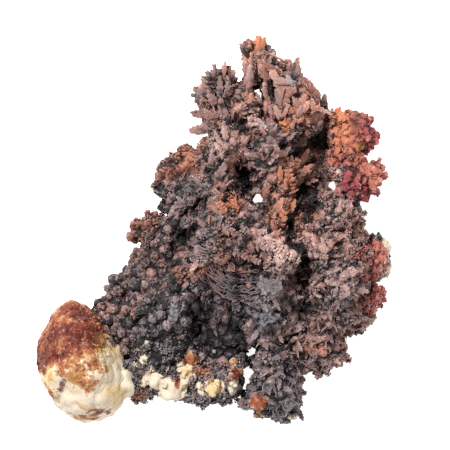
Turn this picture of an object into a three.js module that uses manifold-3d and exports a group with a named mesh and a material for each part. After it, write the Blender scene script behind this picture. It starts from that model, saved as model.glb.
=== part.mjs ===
// Native copper specimen: a spongy, branching copper mass that grew round lumps of calcite and cuprite.
// It lies on its back. Millimetres, +Z up from the surface it rests on, +Y towards the spire, +X towards the
// cuprite side. The origin is the centre of its footprint, on the resting plane.
//
// One relief runs over the whole specimen. Its upper and lower faces pass through the heights in TOPS and
// UNDERSIDES, swell into knobs, and draw together towards the rim. Each piece is the part of the relief
// inside the piece's own plan (its stretch of the rim, then the seam along which it meets its neighbours),
// with copper leaves and knobs fused on:
//   leaves   flat blades that taper to both ends, from root to tip, turned about their length by roll
//   knobs    craggy balls sunk into the upper face: [x, y, radius]
// The piece listed first keeps the seam, and a later one is cut back from it by a hairline gap.

import * as THREE from "three";
import { mergeVertices } from "three/addons/utils/BufferGeometryUtils.js";
import Module from "manifold-3d";

const wasm = await Module();
wasm.setup();

// ---------------------------------------------------------------- shared dimensions, mm
const SEAM = 0.3; // hairline gap between nested pieces
const STEP = 2.8; // from one point of the relief to the next
const JITTER = 0.7; // how far a point of the relief strays sideways
const NEARNESS = 3.5; // power with which the nearer of the listed heights count more
const BLUNTNESS = 0.5; // mm2, keeps a listed height from being a needle
const SWELL_SPACING = 6.2; // from one knob of the relief to the next
const SWELL_PLACE = [0.2, 0.8]; // share of the spacing between which a knob's middle lies
const SWELL_REACH = [0.55, 0.8]; // the same for a knob's radius
const SWELL_MEAN = 0.6; // share of a knob's height at which the relief has its listed height
const UNDER_PATTERN = 17; // gives the lower face knobs of its own
const RIM_LEVEL = 0.45; // share of the thickness that lies below the rim
const RIM_THICKNESS = 0.16; // share of the full thickness that is left at the rim
const RIM_CURVE = 0.6; // 0.5 rounds the edge like a ball, and more makes it sharper
const HOLE_ROUNDING = 3.5; // how far the funnel round a hole reaches
const HOLE_SIDES = 7;
const LEAF_THICKNESS = 1.5;
const LEAF_SINK = 0.35; // share of a leaf's length that runs on into the mass behind its root
const LEAF_GROWTH = { side: 2, tip: 4, face: 1.3 }; // how much further a leaf's corners grow than its faces
const KNOB_CRAG = 0.2; // share of a knob's radius that its crags add or take
const KNOB_SINK = 0.3; // share of its radius that a knob's middle lies under the relief
const REACH = 60; // half the height of the blocks that cut plans, holes and the resting plane
const SCATTER = { x: 127.1, y: 311.7, size: 43758.5453 }; // any large numbers, for waves too quick to follow
const ROW_SHIFT = 5; // gives a relief point's stray along Y a pattern of its own
const WELD = 1e-4; // vertices closer than this are one
const SLIVER = 0.06; // features thinner than this are closed up

const UP = new THREE.Vector3(0, 0, 1);
const { clamp, degToRad, lerp } = THREE.MathUtils;

// ---------------------------------------------------------------- materials
const MATERIALS = {
  mauveCopper: new THREE.MeshStandardMaterial({ color: 0x6b5350, roughness: 0.75, metalness: 0.35 }),
  brownCopper: new THREE.MeshStandardMaterial({ color: 0x84594a, roughness: 0.75, metalness: 0.35 }),
  blackCopper: new THREE.MeshStandardMaterial({ color: 0x413c3f, roughness: 0.8, metalness: 0.3 }),
  calcite: new THREE.MeshStandardMaterial({ color: 0xe8dcc6, roughness: 0.6, metalness: 0 }),
  cuprite: new THREE.MeshStandardMaterial({ color: 0x9c4a3a, roughness: 0.7, metalness: 0.1 }),
};

// ---------------------------------------------------------------- the relief's heights: [x, y, z]
const TOPS = [
  // pink knob, and the ridge that climbs away from it
  [17.5, -6.5, 36], [14, -2, 32], [8, -3.5, 32], [6, 1, 30], [3, 4.5, 31], [0, 9, 27], [0, -5, 30],
  [12, 4, 28], [-4, 5, 24], [-7.5, -1, 18], [-5, -7, 26], [-9, -5, 22],
  // basin, strands and grey plates
  [5, -22, 17], [5, -29, 14], [-0.5, -20, 18], [3, -15, 23], [9, -12, 26], [14, -13.5, 27],
  [12.6, -21.5, 25], [9, -26, 20], [17, -25, 22], [19, -17, 21], [22, -10, 14], [23, -19, 15],
  [22, -25, 16],
  // right mass
  [22, -1, 27], [31, 3.4, 27], [25.6, -5.6, 29], [33.4, -5.4, 26], [25.8, -12.4, 27], [32.4, -14.4, 29],
  [28.6, -21.6, 26], [35.2, -21, 21], [36, 2, 21], [26, 6.5, 21], [19, 1.5, 17], [30, -1, 23],
  [32, 7.5, 17],
  // stem, and the cavities on both sides of it
  [18, 5, 20], [17.5, 12, 19], [13.6, 20, 26], [13.6, 14.6, 23], [16, 25, 24], [14.5, 8, 20], [24, 12, 7],
  [25.5, 19, 7], [22, 20, 9], [21.5, 9, 9], [8, 13, 8], [7.5, 10.5, 10], [11, 17, 19],
  // left shoulder
  [4, 21, 24], [1.4, 14.6, 23], [-6, 7, 23], [-8, 13, 19], [-12, 13, 15], [-11, 8, 16], [-6, 18, 17],
  [8, 22, 22],
  // left spray, spire and right fan
  [3, 27, 22], [3, 33, 19], [0, 35, 17], [-3, 30, 14], [4, 40, 15], [8.5, 30, 22], [9, 36, 20],
  [11, 43, 19], [10.5, 47, 17], [14, 30, 22], [18, 30, 25], [15, 38, 22], [19.5, 39, 18], [23, 32, 23],
  [18, 41, 19], [25, 28, 19], [28.5, 26, 14],
  // cuprite
  [31, 27, 18], [36.5, 25, 20], [33, 21, 17], [34, 14, 17], [40, 15, 16], [36, 10, 15], [40.5, -8, 18],
  [41, -17.5, 16],
  // fringe and foot
  [26, -31, 18], [30, -31, 17], [22, -33, 15], [14, -31, 21], [15, -38, 21], [17.4, -43, 20],
  [11, -43, 17], [14, -46.5, 15],
  // calcite band
  [-17, -38, 15], [-12, -39, 17], [-7, -33, 16], [-2, -39, 16], [5, -36, 15],
  // grape clump and left arm
  [-14, -8, 21], [-12, -14, 23], [-22, -14, 15], [-6.4, -17.4, 26], [-9.4, -22, 26], [-15, -24, 25],
  [-20, -22, 21], [-26, -19, 16], [-20, -31, 19], [-12, -29, 22], [-6, -27, 18], [-4, -22, 15],
  [-16, 1.5, 15], [-20, 0, 13],
  // calcite nodule
  [-34, -33, 28], [-31, -25, 26], [-37, -26, 25], [-36, -42, 25], [-28, -40, 26], [-25, -34, 25],
  [-41.5, -33, 23], [-30, -31, 28], [-37, -36, 27.5], [-31, -37, 28.5], [-35, -29, 27.5], [-39.5, -29, 24],
];

const UNDERSIDES = [
  [0, -8, -2], [-2, -28, -2], [14, -20, -2], [30, -16, -2], [30, 3, 1], [10, 10, 3], [15, 25, 8],
  [-5, 12, 5], [18, 38, 13], [10, 44, 12], [0, 35, 10], [34, 25, 6], [40, 15, 6], [41, -8, 6],
  [41, -17, 7], [28, -32, 4], [15, -45, 3], [15, -35, 2], [0, -40, 4], [-15, -40, 3], [-20, -25, 1],
  [-15, -10, 1], [-19, 0, 7], [-34, -34, -2], [24, 15, 2], [-38, -26, 1], [-28, -42, 1],
];

// Holes right through: [x, y, radius across X, radius across Y]
const HOLES = [
  [11, 8, 1.2, 1.5], [11, 34, 0.8, 1.6], [9.5, -30.7, 1, 1], [8.6, -36, 0.9, 2.4], [30, 11.5, 0.9, 0.8],
];

// ---------------------------------------------------------------- the pieces
// swell: height of the relief's knobs. rounding: how far in from the rim the relief is at its full thickness.
// highest, lowest: levels that the relief keeps below or above, where pieces lie one over the other.
const PIECES = [
  {
    name: "copper_trunk",
    material: MATERIALS.mauveCopper,
    swell: 4,
    rounding: 6,
    rim: [],
    seam: [
      [12.5, 28], [9.8, 22], [7, 17], [5, 14.5], [3, 9.5], [-2, 9], [-5, 5], [-9, 2.5], [-11, 0],
      [-10, -8], [-8, -14], [-4, -16], [-3, -24], [-5, -31], [-2, -35], [4, -33], [8.6, -31.4], [10, -29],
      [18, -28], [21.5, -26], [22, -15], [22, -8], [19.5, -3], [18.5, 1], [22, 5], [27, 8], [29, 12],
      [29.5, 19], [27.6, 22.5], [22, 23.5], [17, 26],
    ],
    knobs: [
      [16.4, -5, 3], [19.4, -7.4, 2], [14, -2.4, 2.4], [3, 4.5, 2.6], [8, -3.5, 2.4], [14.2, -13.6, 2.6],
      [13.4, 20, 2.6],
    ],
    leaves: [
      { root: [20.6, 11, 8], tip: [24.6, 19.6, 15], width: 4.6, roll: 20 },
      { root: [22, 8, 6], tip: [28, 14.6, 12], width: 3, roll: -35 },
      { root: [-1, -14, 22], tip: [9.5, -11.6, 29], width: 3.4, roll: 40 },
      { root: [16, 2, 18], tip: [19.5, 12.5, 22], width: 2.6, roll: 60 },
      { root: [5, -8, 29], tip: [1, -1.5, 34], width: 3, roll: 50 },
      { root: [10, -7, 30], tip: [7, -1, 35], width: 2.8, roll: 55 },
      { root: [12, -12, 25], tip: [17, -16.5, 28], width: 3.6, roll: 20 },
    ],
  },
  {
    name: "copper_right_mass",
    material: MATERIALS.mauveCopper,
    swell: 4,
    rounding: 6,
    rim: [
      [36.5, 7.5], [36.5, 6.5], [37.2, 5.5], [36.8, 3], [38.5, -0.8], [37.4, -3.6], [38.3, -9],
      [38.8, -13.6], [39, -18], [40.6, -21.4], [41, -22.3], [38.3, -23.5], [36.5, -25.5], [34, -26.3],
      [32.8, -28],
    ],
    seam: [
      [26, -27.8], [21, -27.4], [20, -20], [20, -8], [17, -1], [18, 4], [24, 9.4], [30, 9.4], [35, 9],
    ],
    knobs: [[22, -1, 2.3], [31, 3.4, 2.4], [25.6, -5.6, 2.4], [32.4, -14.4, 2.5], [28.6, -21.6, 2.4]],
    leaves: [
      { root: [24, 4, 20], tip: [22, 8, 24], width: 2.6, roll: 10 },
      { root: [28, 5, 18], tip: [27, 10, 19], width: 2.6, roll: -30 },
      { root: [34, -23, 12], tip: [36.6, -27.2, 12], width: 2, roll: 30 },
      { root: [30, -8, 24], tip: [28, -2.5, 29], width: 2.6, roll: 40 },
    ],
  },
  {
    name: "copper_right_fan",
    material: MATERIALS.brownCopper,
    swell: 1.5,
    rounding: 5,
    rim: [
      [13.2, 43], [14.5, 43], [16, 42.3], [17.4, 41.6], [18.7, 42.6], [19.6, 41], [21, 41.2], [21.6, 39.6],
      [22.5, 39.9], [22.8, 37.6], [24, 37], [24.4, 35.4], [26.2, 34.1], [25.8, 31], [27, 29], [28.4, 29],
    ],
    seam: [
      [30, 27], [30.6, 22], [27, 20.5], [22, 22.5], [16, 23], [11.6, 28], [11.6, 32.5], [12, 37], [13, 40],
    ],
    knobs: [[19.6, 27, 2.2]],
    leaves: [
      { root: [14.5, 26, 20], tip: [13.8, 41.8, 25], width: 4, roll: 62 },
      { root: [16, 26, 20], tip: [17.2, 42.6, 26], width: 4.4, roll: -48 },
      { root: [17.5, 26, 21], tip: [21.4, 41.6, 25], width: 4.6, roll: 40 },
      { root: [19, 26, 21], tip: [24.6, 37, 25.5], width: 4.4, roll: -36 },
      { root: [20, 25, 20], tip: [26.6, 32, 24], width: 4, roll: 40 },
      { root: [21, 22, 16], tip: [27, 27.6, 21], width: 3.6, roll: -40 },
      { root: [26.8, 27, 13], tip: [28, 34.4, 16.5], width: 1.8, roll: 12 },
      { root: [16, 30, 16], tip: [18.9, 43, 17], width: 3.6, roll: 20 },
    ],
  },
  {
    name: "copper_spire",
    material: MATERIALS.brownCopper,
    swell: 1,
    rounding: 3.5,
    rim: [
      [6.6, 36.6], [7, 39], [7.4, 42], [6.8, 44], [6.3, 45.4], [6.5, 47], [7.6, 46.6], [8.6, 48.4],
      [9.6, 47], [10.3, 48.4], [11, 49.2], [11.8, 47.8], [12.7, 48], [13.4, 46.8], [14.2, 45.8],
      [15.2, 44.2], [14.2, 43.2],
    ],
    seam: [[13, 41], [13, 38], [12.6, 32], [12.6, 26], [7, 25.6], [6.2, 30], [6, 34]],
    knobs: [[11.6, 44, 1.7]],
    leaves: [
      { root: [9, 36, 17], tip: [8.7, 48.9, 19], width: 2.6, roll: 50 },
      { root: [8.6, 36, 17], tip: [6.2, 47.6, 16], width: 2.2, roll: -30 },
      { root: [11, 38, 18], tip: [11.2, 49.5, 21], width: 2.8, roll: 20 },
      { root: [11.5, 39, 17], tip: [15.6, 44, 18], width: 2.2, roll: -50 },
      { root: [10, 28, 20], tip: [8.6, 38, 25], width: 3, roll: 55 },
    ],
  },
  {
    name: "copper_left_spray",
    material: MATERIALS.brownCopper,
    swell: 1.3,
    rounding: 4,
    rim: [
      [-1, 24.6], [-1.6, 26.2], [-4, 25.8], [-2.6, 27.4], [-5, 29], [-3.2, 30], [-3.6, 31.4], [-4.8, 33.2],
      [-3.6, 34.6], [-2, 37.8], [-0.6, 39], [0.6, 40.6], [2.4, 41.8], [3.6, 41.8], [4.8, 40.2], [5.8, 37],
      [6.3, 35.8],
    ],
    seam: [[7.4, 33], [7.6, 27], [7, 24.4], [4, 23], [0, 23]],
    knobs: [[1.6, 32, 1.7]],
    leaves: [
      { root: [4, 28, 16], tip: [3.5, 42.6, 18], width: 3, roll: 40 },
      { root: [3.4, 29, 17], tip: [0, 41.1, 19], width: 2.6, roll: -30 },
      { root: [4.6, 30, 16], tip: [4.9, 41.2, 15], width: 2, roll: 65 },
      { root: [3, 28, 17], tip: [-2.2, 39.2, 19], width: 2.6, roll: 30 },
      { root: [2.6, 27, 17], tip: [-5.1, 35.2, 18], width: 3, roll: -35 },
      { root: [2, 28, 15], tip: [-5.6, 33.4, 14], width: 2.2, roll: 50 },
      { root: [2, 26, 14], tip: [-6, 29.9, 13], width: 2.8, roll: -20 },
      { root: [2, 25, 13], tip: [-6.2, 25.2, 13.5], width: 1.9, roll: 15 },
    ],
  },
  {
    name: "copper_left_shoulder",
    material: MATERIALS.brownCopper,
    swell: 3.4,
    rounding: 6,
    rim: [
      [-11.5, 4.8], [-13.5, 5], [-14.5, 6], [-13.5, 8], [-15.3, 10], [-16, 11.5], [-15, 14], [-13, 17],
      [-12.5, 18], [-10, 18.8], [-9, 20.2], [-6.3, 21.4], [-5.2, 20.6], [-4, 19], [-4.3, 20.8], [-3, 22.4],
      [-1, 24],
    ],
    seam: [[2, 26], [8, 26], [12, 27], [12, 20], [8, 15], [5, 8], [-2, 6], [-6, 2], [-9, 1.4], [-11, 3]],
    knobs: [[-6, 7, 2.4], [4, 21, 2.2], [-12.4, 12.4, 1.8]],
    leaves: [
      { root: [-3, 13, 15], tip: [-6.4, 21.8, 15], width: 3.6, roll: 15 },
      { root: [-4, 12, 16], tip: [-12.9, 18.2, 15.5], width: 4, roll: -20 },
      { root: [-5, 11, 14], tip: [-16.3, 11.5, 13], width: 3.8, roll: 25 },
      { root: [-7, 8, 12], tip: [-14.8, 6, 11], width: 2.6, roll: 10 },
      { root: [1, 17, 20], tip: [-4.4, 21, 19], width: 3, roll: 20 },
      { root: [4, 11, 19], tip: [6.6, 18.5, 25], width: 3, roll: 60 },
    ],
  },
  {
    name: "copper_grape_clump",
    material: MATERIALS.blackCopper,
    swell: 3.2,
    rounding: 7,
    rim: [
      [-22.6, -34], [-23.4, -32], [-24.3, -29], [-26, -26], [-28.2, -24], [-29.2, -22], [-30.4, -19.6],
      [-28.5, -17.3], [-27, -15.8], [-26, -14], [-24.5, -12], [-23.8, -11], [-21, -10.5], [-20.5, -8],
      [-19, -5.5], [-18.4, -4],
    ],
    seam: [
      [-16, -2], [-12, 2], [-8, 3], [-8, -10], [-3, -14], [-1, -22], [-3, -31], [-8, -33], [-12, -33.4],
      [-16, -33], [-19, -31.8],
    ],
    knobs: [
      [-6.4, -17.4, 2.2], [-9.4, -22, 2.3], [-15, -24, 2.2], [-20, -22, 2], [-12, -29, 2.1], [-20, -31, 2],
      [-14, -8, 2.2], [-12, -14, 2.1], [-22, -14, 1.9], [-26.6, -18.6, 1.8], [-16.4, -18.6, 2],
      [-18, -27.4, 1.9], [-9, -26.6, 2], [-25, -22.6, 1.8],
    ],
  },
  {
    name: "copper_left_arm",
    material: MATERIALS.brownCopper,
    swell: 1,
    rounding: 3.5,
    rim: [
      [-18, -2.8], [-19, -1.8], [-19.8, -3], [-21.3, -3], [-21.8, -1.6], [-22, 0], [-21.2, 2], [-20, 2.1],
      [-18.8, 2.8], [-17.5, 4.1], [-16.4, 4.7], [-14, 4.2], [-12.8, 3],
    ],
    seam: [[-10.4, 3.6], [-10.6, -1], [-15, -4]],
    leaves: [
      { root: [-14, 1, 12], tip: [-19.8, 3.4, 13], width: 2, roll: 20 },
      { root: [-15, 1, 12], tip: [-22.6, 0.6, 12], width: 3.2, roll: -15 },
      { root: [-17, 1, 12], tip: [-21.6, -3.6, 11], width: 2.4, roll: 15 },
    ],
  },
  {
    name: "copper_foot",
    material: MATERIALS.blackCopper,
    swell: 2.6,
    rounding: 5,
    rim: [
      [20.9, -36.6], [21.2, -38], [22.6, -40.8], [22.3, -43], [21.1, -45.5], [20.8, -47.2], [19.3, -48.6],
      [17.3, -49.7], [16, -47.8], [13, -46.9], [12.5, -48], [10, -46.9], [10.5, -44.8], [7.8, -45],
      [6, -43.3], [8.2, -41.6], [9.4, -38], [9.8, -35],
    ],
    seam: [[9.6, -31], [9.6, -26], [20, -25], [20, -30]],
    knobs: [[14, -31, 2], [15, -38, 2], [11, -43, 1.8], [19.6, -45.4, 1.6]],
    leaves: [
      { root: [17, -38, 18], tip: [17.6, -46, 20.5], width: 3, roll: 30 },
      { root: [17, -45, 11], tip: [17.4, -50, 11], width: 2.6, roll: 20 },
      { root: [11, -43, 11], tip: [5.6, -43.5, 11], width: 2.4, roll: 25 },
    ],
  },
  {
    name: "copper_lower_fringe",
    material: MATERIALS.brownCopper,
    swell: 2.4,
    rounding: 5,
    rim: [
      [32.6, -28.4], [33.6, -31.4], [32.8, -33.8], [29.5, -34.6], [28.4, -35.6], [26.8, -36.8],
      [25.6, -35.4], [24, -35.3], [21.3, -36.5],
    ],
    seam: [[19, -37], [18.6, -27], [26, -26], [31, -26]],
    knobs: [[26, -30.6, 1.9]],
    leaves: [
      { root: [26, -32, 11], tip: [26.8, -37.3, 11], width: 2.6, roll: 15 },
      { root: [29, -31, 12], tip: [33.9, -31.7, 13], width: 2, roll: 40 },
    ],
  },
  {
    name: "calcite_nodule",
    material: MATERIALS.calcite,
    swell: 1.8,
    rounding: 9,
    rim: [
      [-24.4, -28.4], [-23.4, -31], [-21.6, -35], [-19.6, -37.8], [-20.4, -40.4], [-23, -42], [-25, -44],
      [-26.5, -46], [-29, -47.6], [-32, -48.4], [-34, -48], [-36, -46.5], [-38, -44.5], [-40, -42],
      [-42.8, -38], [-44.5, -34.5], [-45.2, -32], [-45, -30], [-43.5, -27.5], [-41.5, -25.5],
      [-40.2, -22.5], [-38.5, -20], [-36, -18.6], [-33.5, -19.5], [-31, -20.8], [-29, -22.6], [-28, -24.4],
      [-26, -26.6],
    ],
    seam: [],
  },
  {
    name: "calcite_band",
    material: MATERIALS.calcite,
    swell: 1.4,
    rounding: 5,
    highest: 18,
    rim: [
      [7.6, -38.6], [7.2, -40], [4.6, -41], [4, -42], [2, -44], [0.4, -43], [-1.3, -42.8], [-3.8, -43.8],
      [-5.6, -42], [-8.5, -42.5], [-11.5, -42.2], [-13.6, -41], [-15.5, -41], [-18, -42.8], [-21, -42],
    ],
    seam: [
      [-21, -37], [-22.4, -33.4], [-19, -30.6], [-16, -31.6], [-12, -32], [-6, -30], [-2, -30], [5, -30.6],
      [7.6, -33], [7.6, -36],
    ],
    knobs: [[-12, -39, 2], [-17, -38.4, 1.7], [-7, -33, 1.9], [-1, -39, 1.9], [5, -36, 1.7]],
  },
  {
    name: "cuprite_block",
    material: MATERIALS.cuprite,
    swell: 1.6,
    rounding: 5,
    rim: [
      [28.6, 29], [30.6, 29.6], [32.5, 29.9], [34.8, 28.6], [36.5, 29.7], [38, 29], [39.2, 27.8],
      [39.8, 25.5], [41.2, 22.3], [39.5, 21], [38.3, 20], [36.9, 19],
    ],
    seam: [[34, 17.6], [30, 17], [28, 21], [28, 26]],
    knobs: [[36.6, 25, 2.2]],
  },
  {
    name: "cuprite_spray",
    material: MATERIALS.cuprite,
    swell: 1.6,
    rounding: 5,
    rim: [
      [36.9, 18.4], [39.5, 17.3], [41.8, 17.8], [42.5, 15.8], [44.3, 14.2], [43.8, 13], [42, 12.6],
      [42, 11], [40, 9.6], [37, 8.2],
    ],
    seam: [[34, 7], [30, 7], [28, 10], [28.6, 18], [32, 20]],
    knobs: [[34, 14, 1.9]],
    leaves: [
      { root: [34, 13, 14], tip: [29.6, 17, 18], width: 2.6, roll: 30 },
      { root: [38, 14, 11], tip: [44.9, 14.3, 11], width: 2.8, roll: 30 },
    ],
  },
  {
    name: "cuprite_knob",
    material: MATERIALS.cuprite,
    swell: 1.2,
    rounding: 5,
    lowest: 7.4,
    rim: [
      [37, -3.6], [38.5, -3.6], [42.3, -3.5], [43, -5], [44.6, -7.2], [43.5, -9], [43.6, -10], [41, -11.5],
      [40, -12.5], [38, -13],
    ],
    seam: [[35, -12], [35, -5]],
    knobs: [[40.6, -7.6, 1.9]],
  },
  {
    name: "cuprite_point",
    material: MATERIALS.cuprite,
    swell: 0.8,
    rounding: 4,
    rim: [[38, -13.8], [40.3, -14], [42, -14.5], [43.5, -16], [44.5, -17.6], [42.5, -19.5], [41.2, -20.4]],
    seam: [[38, -21], [36, -17]],
  },
  {
    name: "calcite_tips",
    material: MATERIALS.calcite,
    swell: 0.8,
    rounding: 3,
    highest: 8.6,
    rim: [
      [41.5, -2.4], [43.4, -2.8], [44.9, -3.6], [45.1, -5.2], [44.3, -6.6], [45.2, -8.4], [45.2, -10.2],
      [43.8, -11.3], [42, -11.6],
    ],
    seam: [[38.6, -10.6], [38.4, -4.6]],
  },
];

// ---------------------------------------------------------------- the relief
/** A closed three.js geometry as a manifold-3d solid. */
function solidFrom(geometry) {
  geometry.deleteAttribute("normal");
  geometry.deleteAttribute("uv");
  const welded = mergeVertices(geometry, WELD);
  return new wasm.Manifold(
    new wasm.Mesh({
      numProp: 3,
      vertProperties: new Float32Array(welded.attributes.position.array),
      triVerts: new Uint32Array(welded.index.array),
    }),
  );
}

/** A number from 0 to 1 that looks random but is always the same for the same place. */
function scatter(x, y) {
  const wave = SCATTER.size * Math.sin(SCATTER.x * x + SCATTER.y * y);
  return wave - Math.floor(wave);
}

/** The height at a place, from the listed heights round it. The nearest count most. */
function heightAmong(heights, x, y) {
  let sum = 0;
  let weights = 0;
  for (const [hx, hy, hz] of heights) {
    const weight = ((x - hx) ** 2 + (y - hy) ** 2 + BLUNTNESS) ** (-NEARNESS / 2);
    sum += hz * weight;
    weights += weight;
  }
  return sum / weights;
}

/** Knobs all over, each a dome from 0 at its foot to at most 1 on top. */
function swellAt(x, y, seed) {
  const column = Math.floor(x / SWELL_SPACING);
  const row = Math.floor(y / SWELL_SPACING);
  let best = 0;
  for (let i = column - 1; i <= column + 1; i += 1) {
    for (let j = row - 1; j <= row + 1; j += 1) {
      const cx = (i + lerp(...SWELL_PLACE, scatter(i + seed, j))) * SWELL_SPACING;
      const cy = (j + lerp(...SWELL_PLACE, scatter(i, j + seed))) * SWELL_SPACING;
      const reach = SWELL_SPACING * lerp(...SWELL_REACH, scatter(i + seed, j + seed));
      best = Math.max(best, 1 - ((x - cx) ** 2 + (y - cy) ** 2) / reach ** 2);
    }
  }
  return best;
}

/** Distance from a place to a line through the given points. */
function distanceTo(points, x, y) {
  let best = Infinity;
  for (let i = 1; i < points.length; i += 1) {
    const [ax, ay] = points[i - 1];
    const [bx, by] = [points[i][0] - ax, points[i][1] - ay];
    const along = clamp(((x - ax) * bx + (y - ay) * by) / (bx * bx + by * by), 0, 1);
    best = Math.min(best, Math.hypot(x - ax - along * bx, y - ay - along * by));
  }
  return best;
}

/** Whether a place lies inside a plan. */
function isInside(plan, x, y) {
  let inside = false;
  for (let i = 0, j = plan.length - 1; i < plan.length; j = i, i += 1) {
    const [ax, ay] = plan[i];
    const [bx, by] = plan[j];
    if (ay > y !== by > y && x < ((bx - ax) * (y - ay)) / (by - ay) + ax) inside = !inside;
  }
  return inside;
}

/** Share of its full thickness that the relief has at a place: least on the rim, beyond it, and at holes. */
function fullness({ rim, seam, rounding }, x, y) {
  const toRim = distanceTo(seam.length ? rim : [...rim, rim[0]], x, y);
  const isBeyondRim = !isInside([...rim, ...seam], x, y) && toRim < distanceTo(seam, x, y);
  let depth = isBeyondRim ? 0 : toRim / rounding;
  for (const [hx, hy, rx, ry] of HOLES) {
    depth = Math.min(depth, (Math.hypot(x - hx, y - hy) - Math.min(rx, ry)) / HOLE_ROUNDING);
  }
  const inward = clamp(depth, 0, 1);
  return RIM_THICKNESS + (1 - RIM_THICKNESS) * (inward * (2 - inward)) ** RIM_CURVE;
}

/** The relief's upper and lower heights at a place. */
function levelsAt(piece, x, y) {
  const { swell, highest = Infinity, lowest = -Infinity } = piece;
  const top = heightAmong(TOPS, x, y) + swell * (swellAt(x, y, 0) - SWELL_MEAN);
  const underside = heightAmong(UNDERSIDES, x, y) - swell * (swellAt(x, y, UNDER_PATTERN) - SWELL_MEAN);
  const [high, low] = [Math.min(top, highest), Math.max(underside, lowest)];
  const middle = low + RIM_LEVEL * (high - low);
  const full = fullness(piece, x, y);
  return [middle + (high - middle) * full, middle - (middle - low) * full];
}

/** The point of the relief's upper or lower face that belongs to a column and row of its grid. */
function reliefPoint(piece, column, row, isTop, grow) {
  const x = column * STEP + JITTER * (2 * scatter(column, row) - 1);
  const y = row * STEP + JITTER * (2 * scatter(row, column + ROW_SHIFT) - 1);
  const [top, underside] = levelsAt(piece, x, y);
  return new THREE.Vector3(x, y, isTop ? top + grow : underside - grow);
}

/** The corners of a piece's plan. */
function planOf({ rim, seam }) {
  return [...rim, ...seam].map(([x, y]) => new THREE.Vector2(x, y));
}

/** The relief over a piece's plan, as a block. Its lower face has only every other row and column. */
function reliefSolid(piece, grow) {
  const plan = new THREE.Box2().setFromPoints(planOf(piece));
  const firstColumn = Math.floor(plan.min.x / STEP) - 1;
  const firstRow = Math.floor(plan.min.y / STEP) - 1;
  const columns = Math.ceil(plan.max.x / STEP) + 1 - firstColumn;
  const rows = Math.ceil(plan.max.y / STEP) + 1 - firstRow;
  const geometry = new THREE.BoxGeometry(columns, rows, 1, columns, rows, 1);
  geometry.translate(firstColumn + columns / 2, firstRow + rows / 2, 0);
  const position = geometry.attributes.position;
  for (let i = 0; i < position.count; i += 1) {
    const isTop = position.getZ(i) > 0;
    const [column, row] = [Math.round(position.getX(i)), Math.round(position.getY(i))];
    const [offColumn, offRow] = isTop ? [0, 0] : [Math.abs(column % 2), Math.abs(row % 2)];
    const p = reliefPoint(piece, column - offColumn, row + offRow, isTop, grow);
    p.lerp(reliefPoint(piece, column + offColumn, row - offRow, isTop, grow), 0.5);
    position.setXYZ(i, p.x, p.y, p.z);
  }
  return solidFrom(geometry);
}

/** A tall block with a piece's plan, widened all round by grow. */
function planSolid(piece, grow) {
  const shape = new THREE.Shape(planOf(piece));
  const wider = { bevelEnabled: true, bevelSegments: 1, bevelThickness: 1, bevelSize: 0, bevelOffset: grow };
  const geometry = new THREE.ExtrudeGeometry(shape, { depth: 2 * REACH, ...wider });
  return solidFrom(geometry.translate(0, 0, -REACH));
}

/** A bar through the whole relief, with a hole's plan. */
function holeSolid([x, y, rx, ry]) {
  const geometry = new THREE.CylinderGeometry(1, 1, 2 * REACH, HOLE_SIDES);
  return solidFrom(geometry.rotateX(Math.PI / 2).scale(rx, ry, 1).translate(x, y, 0));
}

// ---------------------------------------------------------------- knobs and leaves
/** A craggy ball, sunk into the relief's upper face. */
function knobSolid(piece, [x, y, radius], grow) {
  const geometry = new THREE.IcosahedronGeometry(1);
  const position = geometry.attributes.position;
  const z = levelsAt(piece, x, y)[0] - KNOB_SINK * radius;
  const p = new THREE.Vector3();
  for (let i = 0; i < position.count; i += 1) {
    p.fromBufferAttribute(position, i);
    const crag = 2 * scatter(x + p.x, y + p.y + 2 * p.z) - 1;
    p.multiplyScalar(radius * (1 + KNOB_CRAG * crag) + grow);
    position.setXYZ(i, x + p.x, y + p.y, z + p.z);
  }
  return solidFrom(geometry);
}

/** A flat blade whose tip lies at the given point. */
function leafSolid({ root, tip, width, roll }, grow) {
  const end = new THREE.Vector3(...tip);
  const along = end.clone().sub(new THREE.Vector3(...root));
  const halfLength = (along.length() * (1 + LEAF_SINK)) / 2;
  along.normalize();
  const side = along.clone().cross(UP).normalize();
  const face = side.clone().cross(along);
  const middle = end.addScaledVector(along, -halfLength);
  const geometry = new THREE.OctahedronGeometry(1);
  geometry.scale(
    width / 2 + LEAF_GROWTH.side * grow,
    halfLength + LEAF_GROWTH.tip * grow,
    LEAF_THICKNESS / 2 + LEAF_GROWTH.face * grow,
  );
  geometry.rotateY(degToRad(roll));
  const place = new THREE.Matrix4().makeBasis(side, along, face).setPosition(middle);
  return solidFrom(geometry.applyMatrix4(place));
}

/** A whole piece before its neighbours are cut away, grown on all sides by grow. */
function pieceSolid(piece, grow = 0) {
  const { knobs = [], leaves = [] } = piece;
  return wasm.Manifold.union([
    reliefSolid(piece, grow).intersect(planSolid(piece, grow)),
    ...knobs.map((knob) => knobSolid(piece, knob, grow)),
    ...leaves.map((leaf) => leafSolid(leaf, grow)),
  ]).simplify(SLIVER);
}

/** The largest of the separate bodies that the cuts left. */
function largestOf(solid) {
  return solid.decompose().reduce((best, body) => (body.volume() > best.volume() ? body : best));
}

/** A manifold-3d solid as a three.js geometry. */
function geometryOf(solid) {
  const mesh = solid.getMesh();
  return new THREE.BufferGeometry()
    .setAttribute("position", new THREE.BufferAttribute(new Float32Array(mesh.vertProperties), 3))
    .setIndex(new THREE.BufferAttribute(new Uint32Array(mesh.triVerts), 1));
}

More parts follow.
